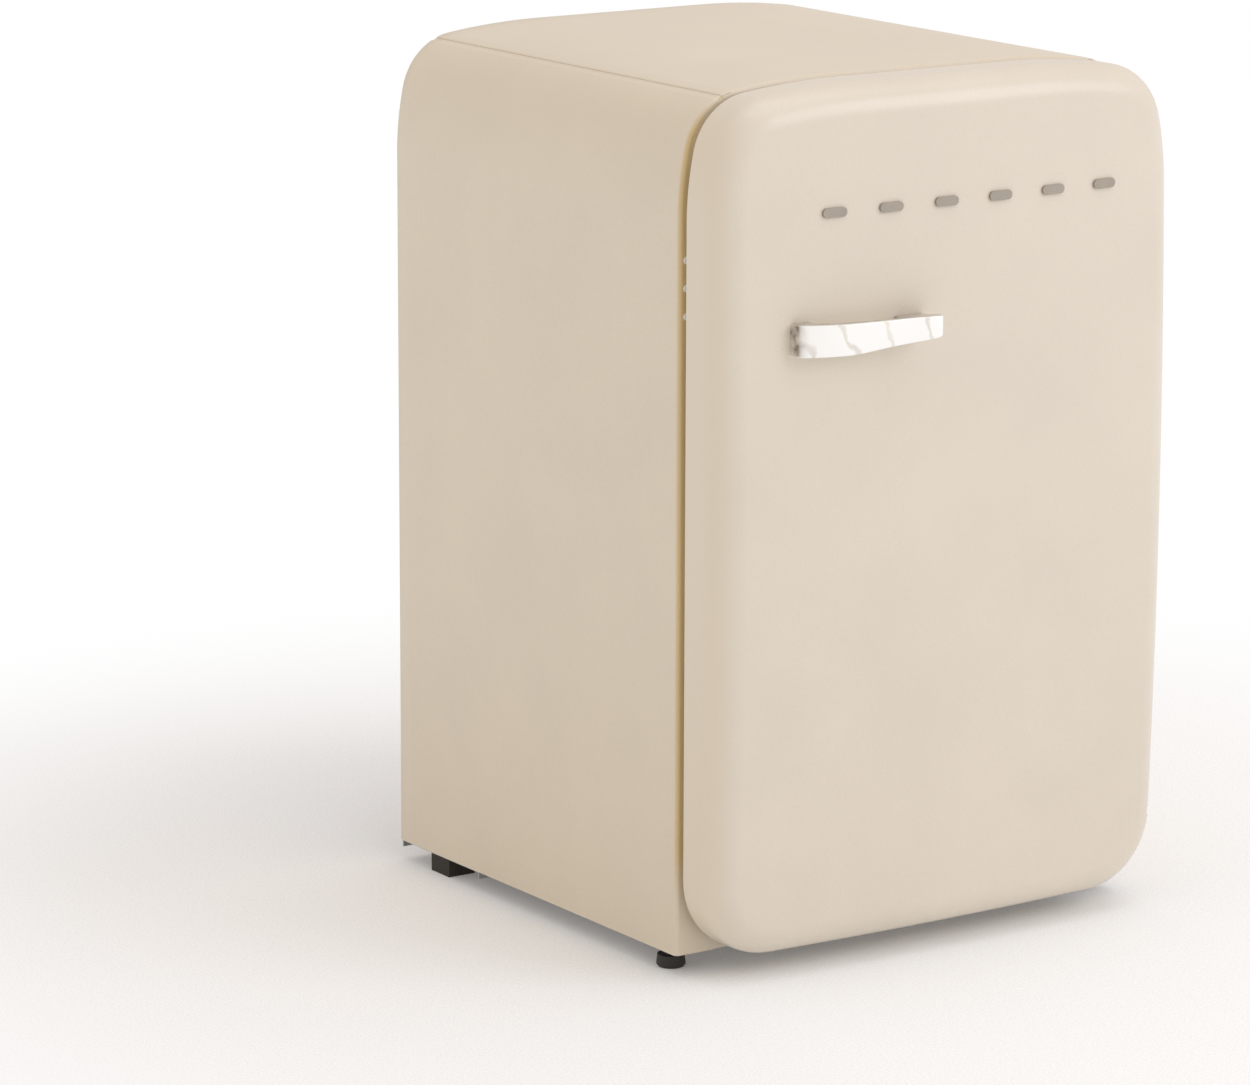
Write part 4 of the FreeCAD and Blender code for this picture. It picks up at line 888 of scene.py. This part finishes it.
CAMERA_AZIMUTH = -34.09
CAMERA_ELEVATION = 12.602
CAMERA_ROLL = 0.164
CAMERA_DISTANCE = 5.058
CAMERA_AIM = (-0.3237, FRONT, 0.4248)
CAMERA_LENS = 159.18
WORLD_LIGHT = 0.8
WORLD_TINT = (1.0, 0.93, 0.875)
KEY_TINT = (0.95, 1.0, 1.08)
KEY_LIGHT = 45
FILL_LIGHT = 20
FADE_START, FADE_END = 0.6, 1.35
FLOOR_LIFT = 0.1


def make_camera():
    """A long lens from the front left, a little above the middle, turned by a trace of roll."""
    data = bpy.data.cameras.new("Camera")
    camera = bpy.data.objects.new("Camera", data)
    bpy.context.scene.collection.objects.link(camera)
    az, el, roll = (math.radians(v) for v in (CAMERA_AZIMUTH, CAMERA_ELEVATION, CAMERA_ROLL))
    back = Vector((math.sin(az) * math.cos(el), -math.cos(az) * math.cos(el), math.sin(el)))
    right = Vector((math.cos(az), math.sin(az), 0.0))
    up = back.cross(right)
    across = right * math.cos(roll) + up * math.sin(roll)
    upward = -right * math.sin(roll) + up * math.cos(roll)
    camera.matrix_world = Matrix.Translation(Vector(CAMERA_AIM) + back * CAMERA_DISTANCE) @ Matrix(
        (across, upward, back)).transposed().to_4x4()
    data.lens = CAMERA_LENS
    data.sensor_width = 36.0
    bpy.context.scene.camera = camera


def area_light(name, place, size, power):
    """A square soft light that looks at the middle of the cabinet."""
    data = bpy.data.lights.new(name, "AREA")
    data.shape = "RECTANGLE"
    data.size, data.size_y = size, size
    data.energy = power
    data.color = KEY_TINT
    light = bpy.data.objects.new(name, data)
    bpy.context.scene.collection.objects.link(light)
    light.location = place
    light.rotation_euler = (Vector((0, 0, 0.4)) - Vector(place)).to_track_quat("-Z", "Y").to_euler()


def make_stage():
    """A pale floor that fades to white far off, under soft light from the front right."""
    world = bpy.data.worlds.new("World")
    bpy.context.scene.world = world
    world.use_nodes = True
    background = world.node_tree.nodes["Background"]
    background.inputs["Color"].default_value = (*WORLD_TINT, 1)
    background.inputs["Strength"].default_value = WORLD_LIGHT
    bpy.context.scene.view_settings.view_transform = "Standard"
    bpy.ops.mesh.primitive_plane_add(size=40, location=(0, 0, 0))
    floor = bpy.context.object
    floor.name = "studio_floor"
    floor.data.materials.append(floor_material())
    area_light("KeyRight", (2.4, -3.4, 2.6), 2.4, KEY_LIGHT)
    area_light("FillTop", (0.4, -0.6, 3.6), 2.6, FILL_LIGHT)


def floor_material():
    """Pale paper that turns plain white with distance from the object."""
    material, tree, shader = node_material("PaleFloor")
    dust = noise(tree, 420, 3)
    tree.links.new(blend_colours(tree, dust.outputs["Fac"], srgb(230, 232, 234), srgb(246, 248, 250)),
                   shader.inputs["Base Color"])
    shader.inputs["Roughness"].default_value = 0.85
    shader.inputs["Specular IOR Level"].default_value = 0.1
    shader.inputs["Emission Color"].default_value = (*WORLD_TINT, 1)
    shader.inputs["Emission Strength"].default_value = FLOOR_LIFT
    reach = add(tree, "ShaderNodeVectorMath", operation="LENGTH")
    tree.links.new(place_of(tree), reach.inputs[0])
    far = ranged(tree, reach.outputs["Value"], FADE_START, FADE_END)
    white = add(tree, "ShaderNodeEmission")
    white.inputs["Color"].default_value = (1, 1, 1, 1)
    white.inputs["Strength"].default_value = 1.0
    mix = add(tree, "ShaderNodeMixShader")
    tree.links.new(far, mix.inputs["Fac"])
    tree.links.new(shader.outputs["BSDF"], mix.inputs[1])
    tree.links.new(white.outputs["Emission"], mix.inputs[2])
    output = next(n for n in tree.nodes if n.type == "OUTPUT_MATERIAL")
    tree.links.new(mix.outputs["Shader"], output.inputs["Surface"])
    return material


make_camera()
make_stage()
make_cabinet()
make_door_skin()
make_gasket()
make_handle()
round_edges()
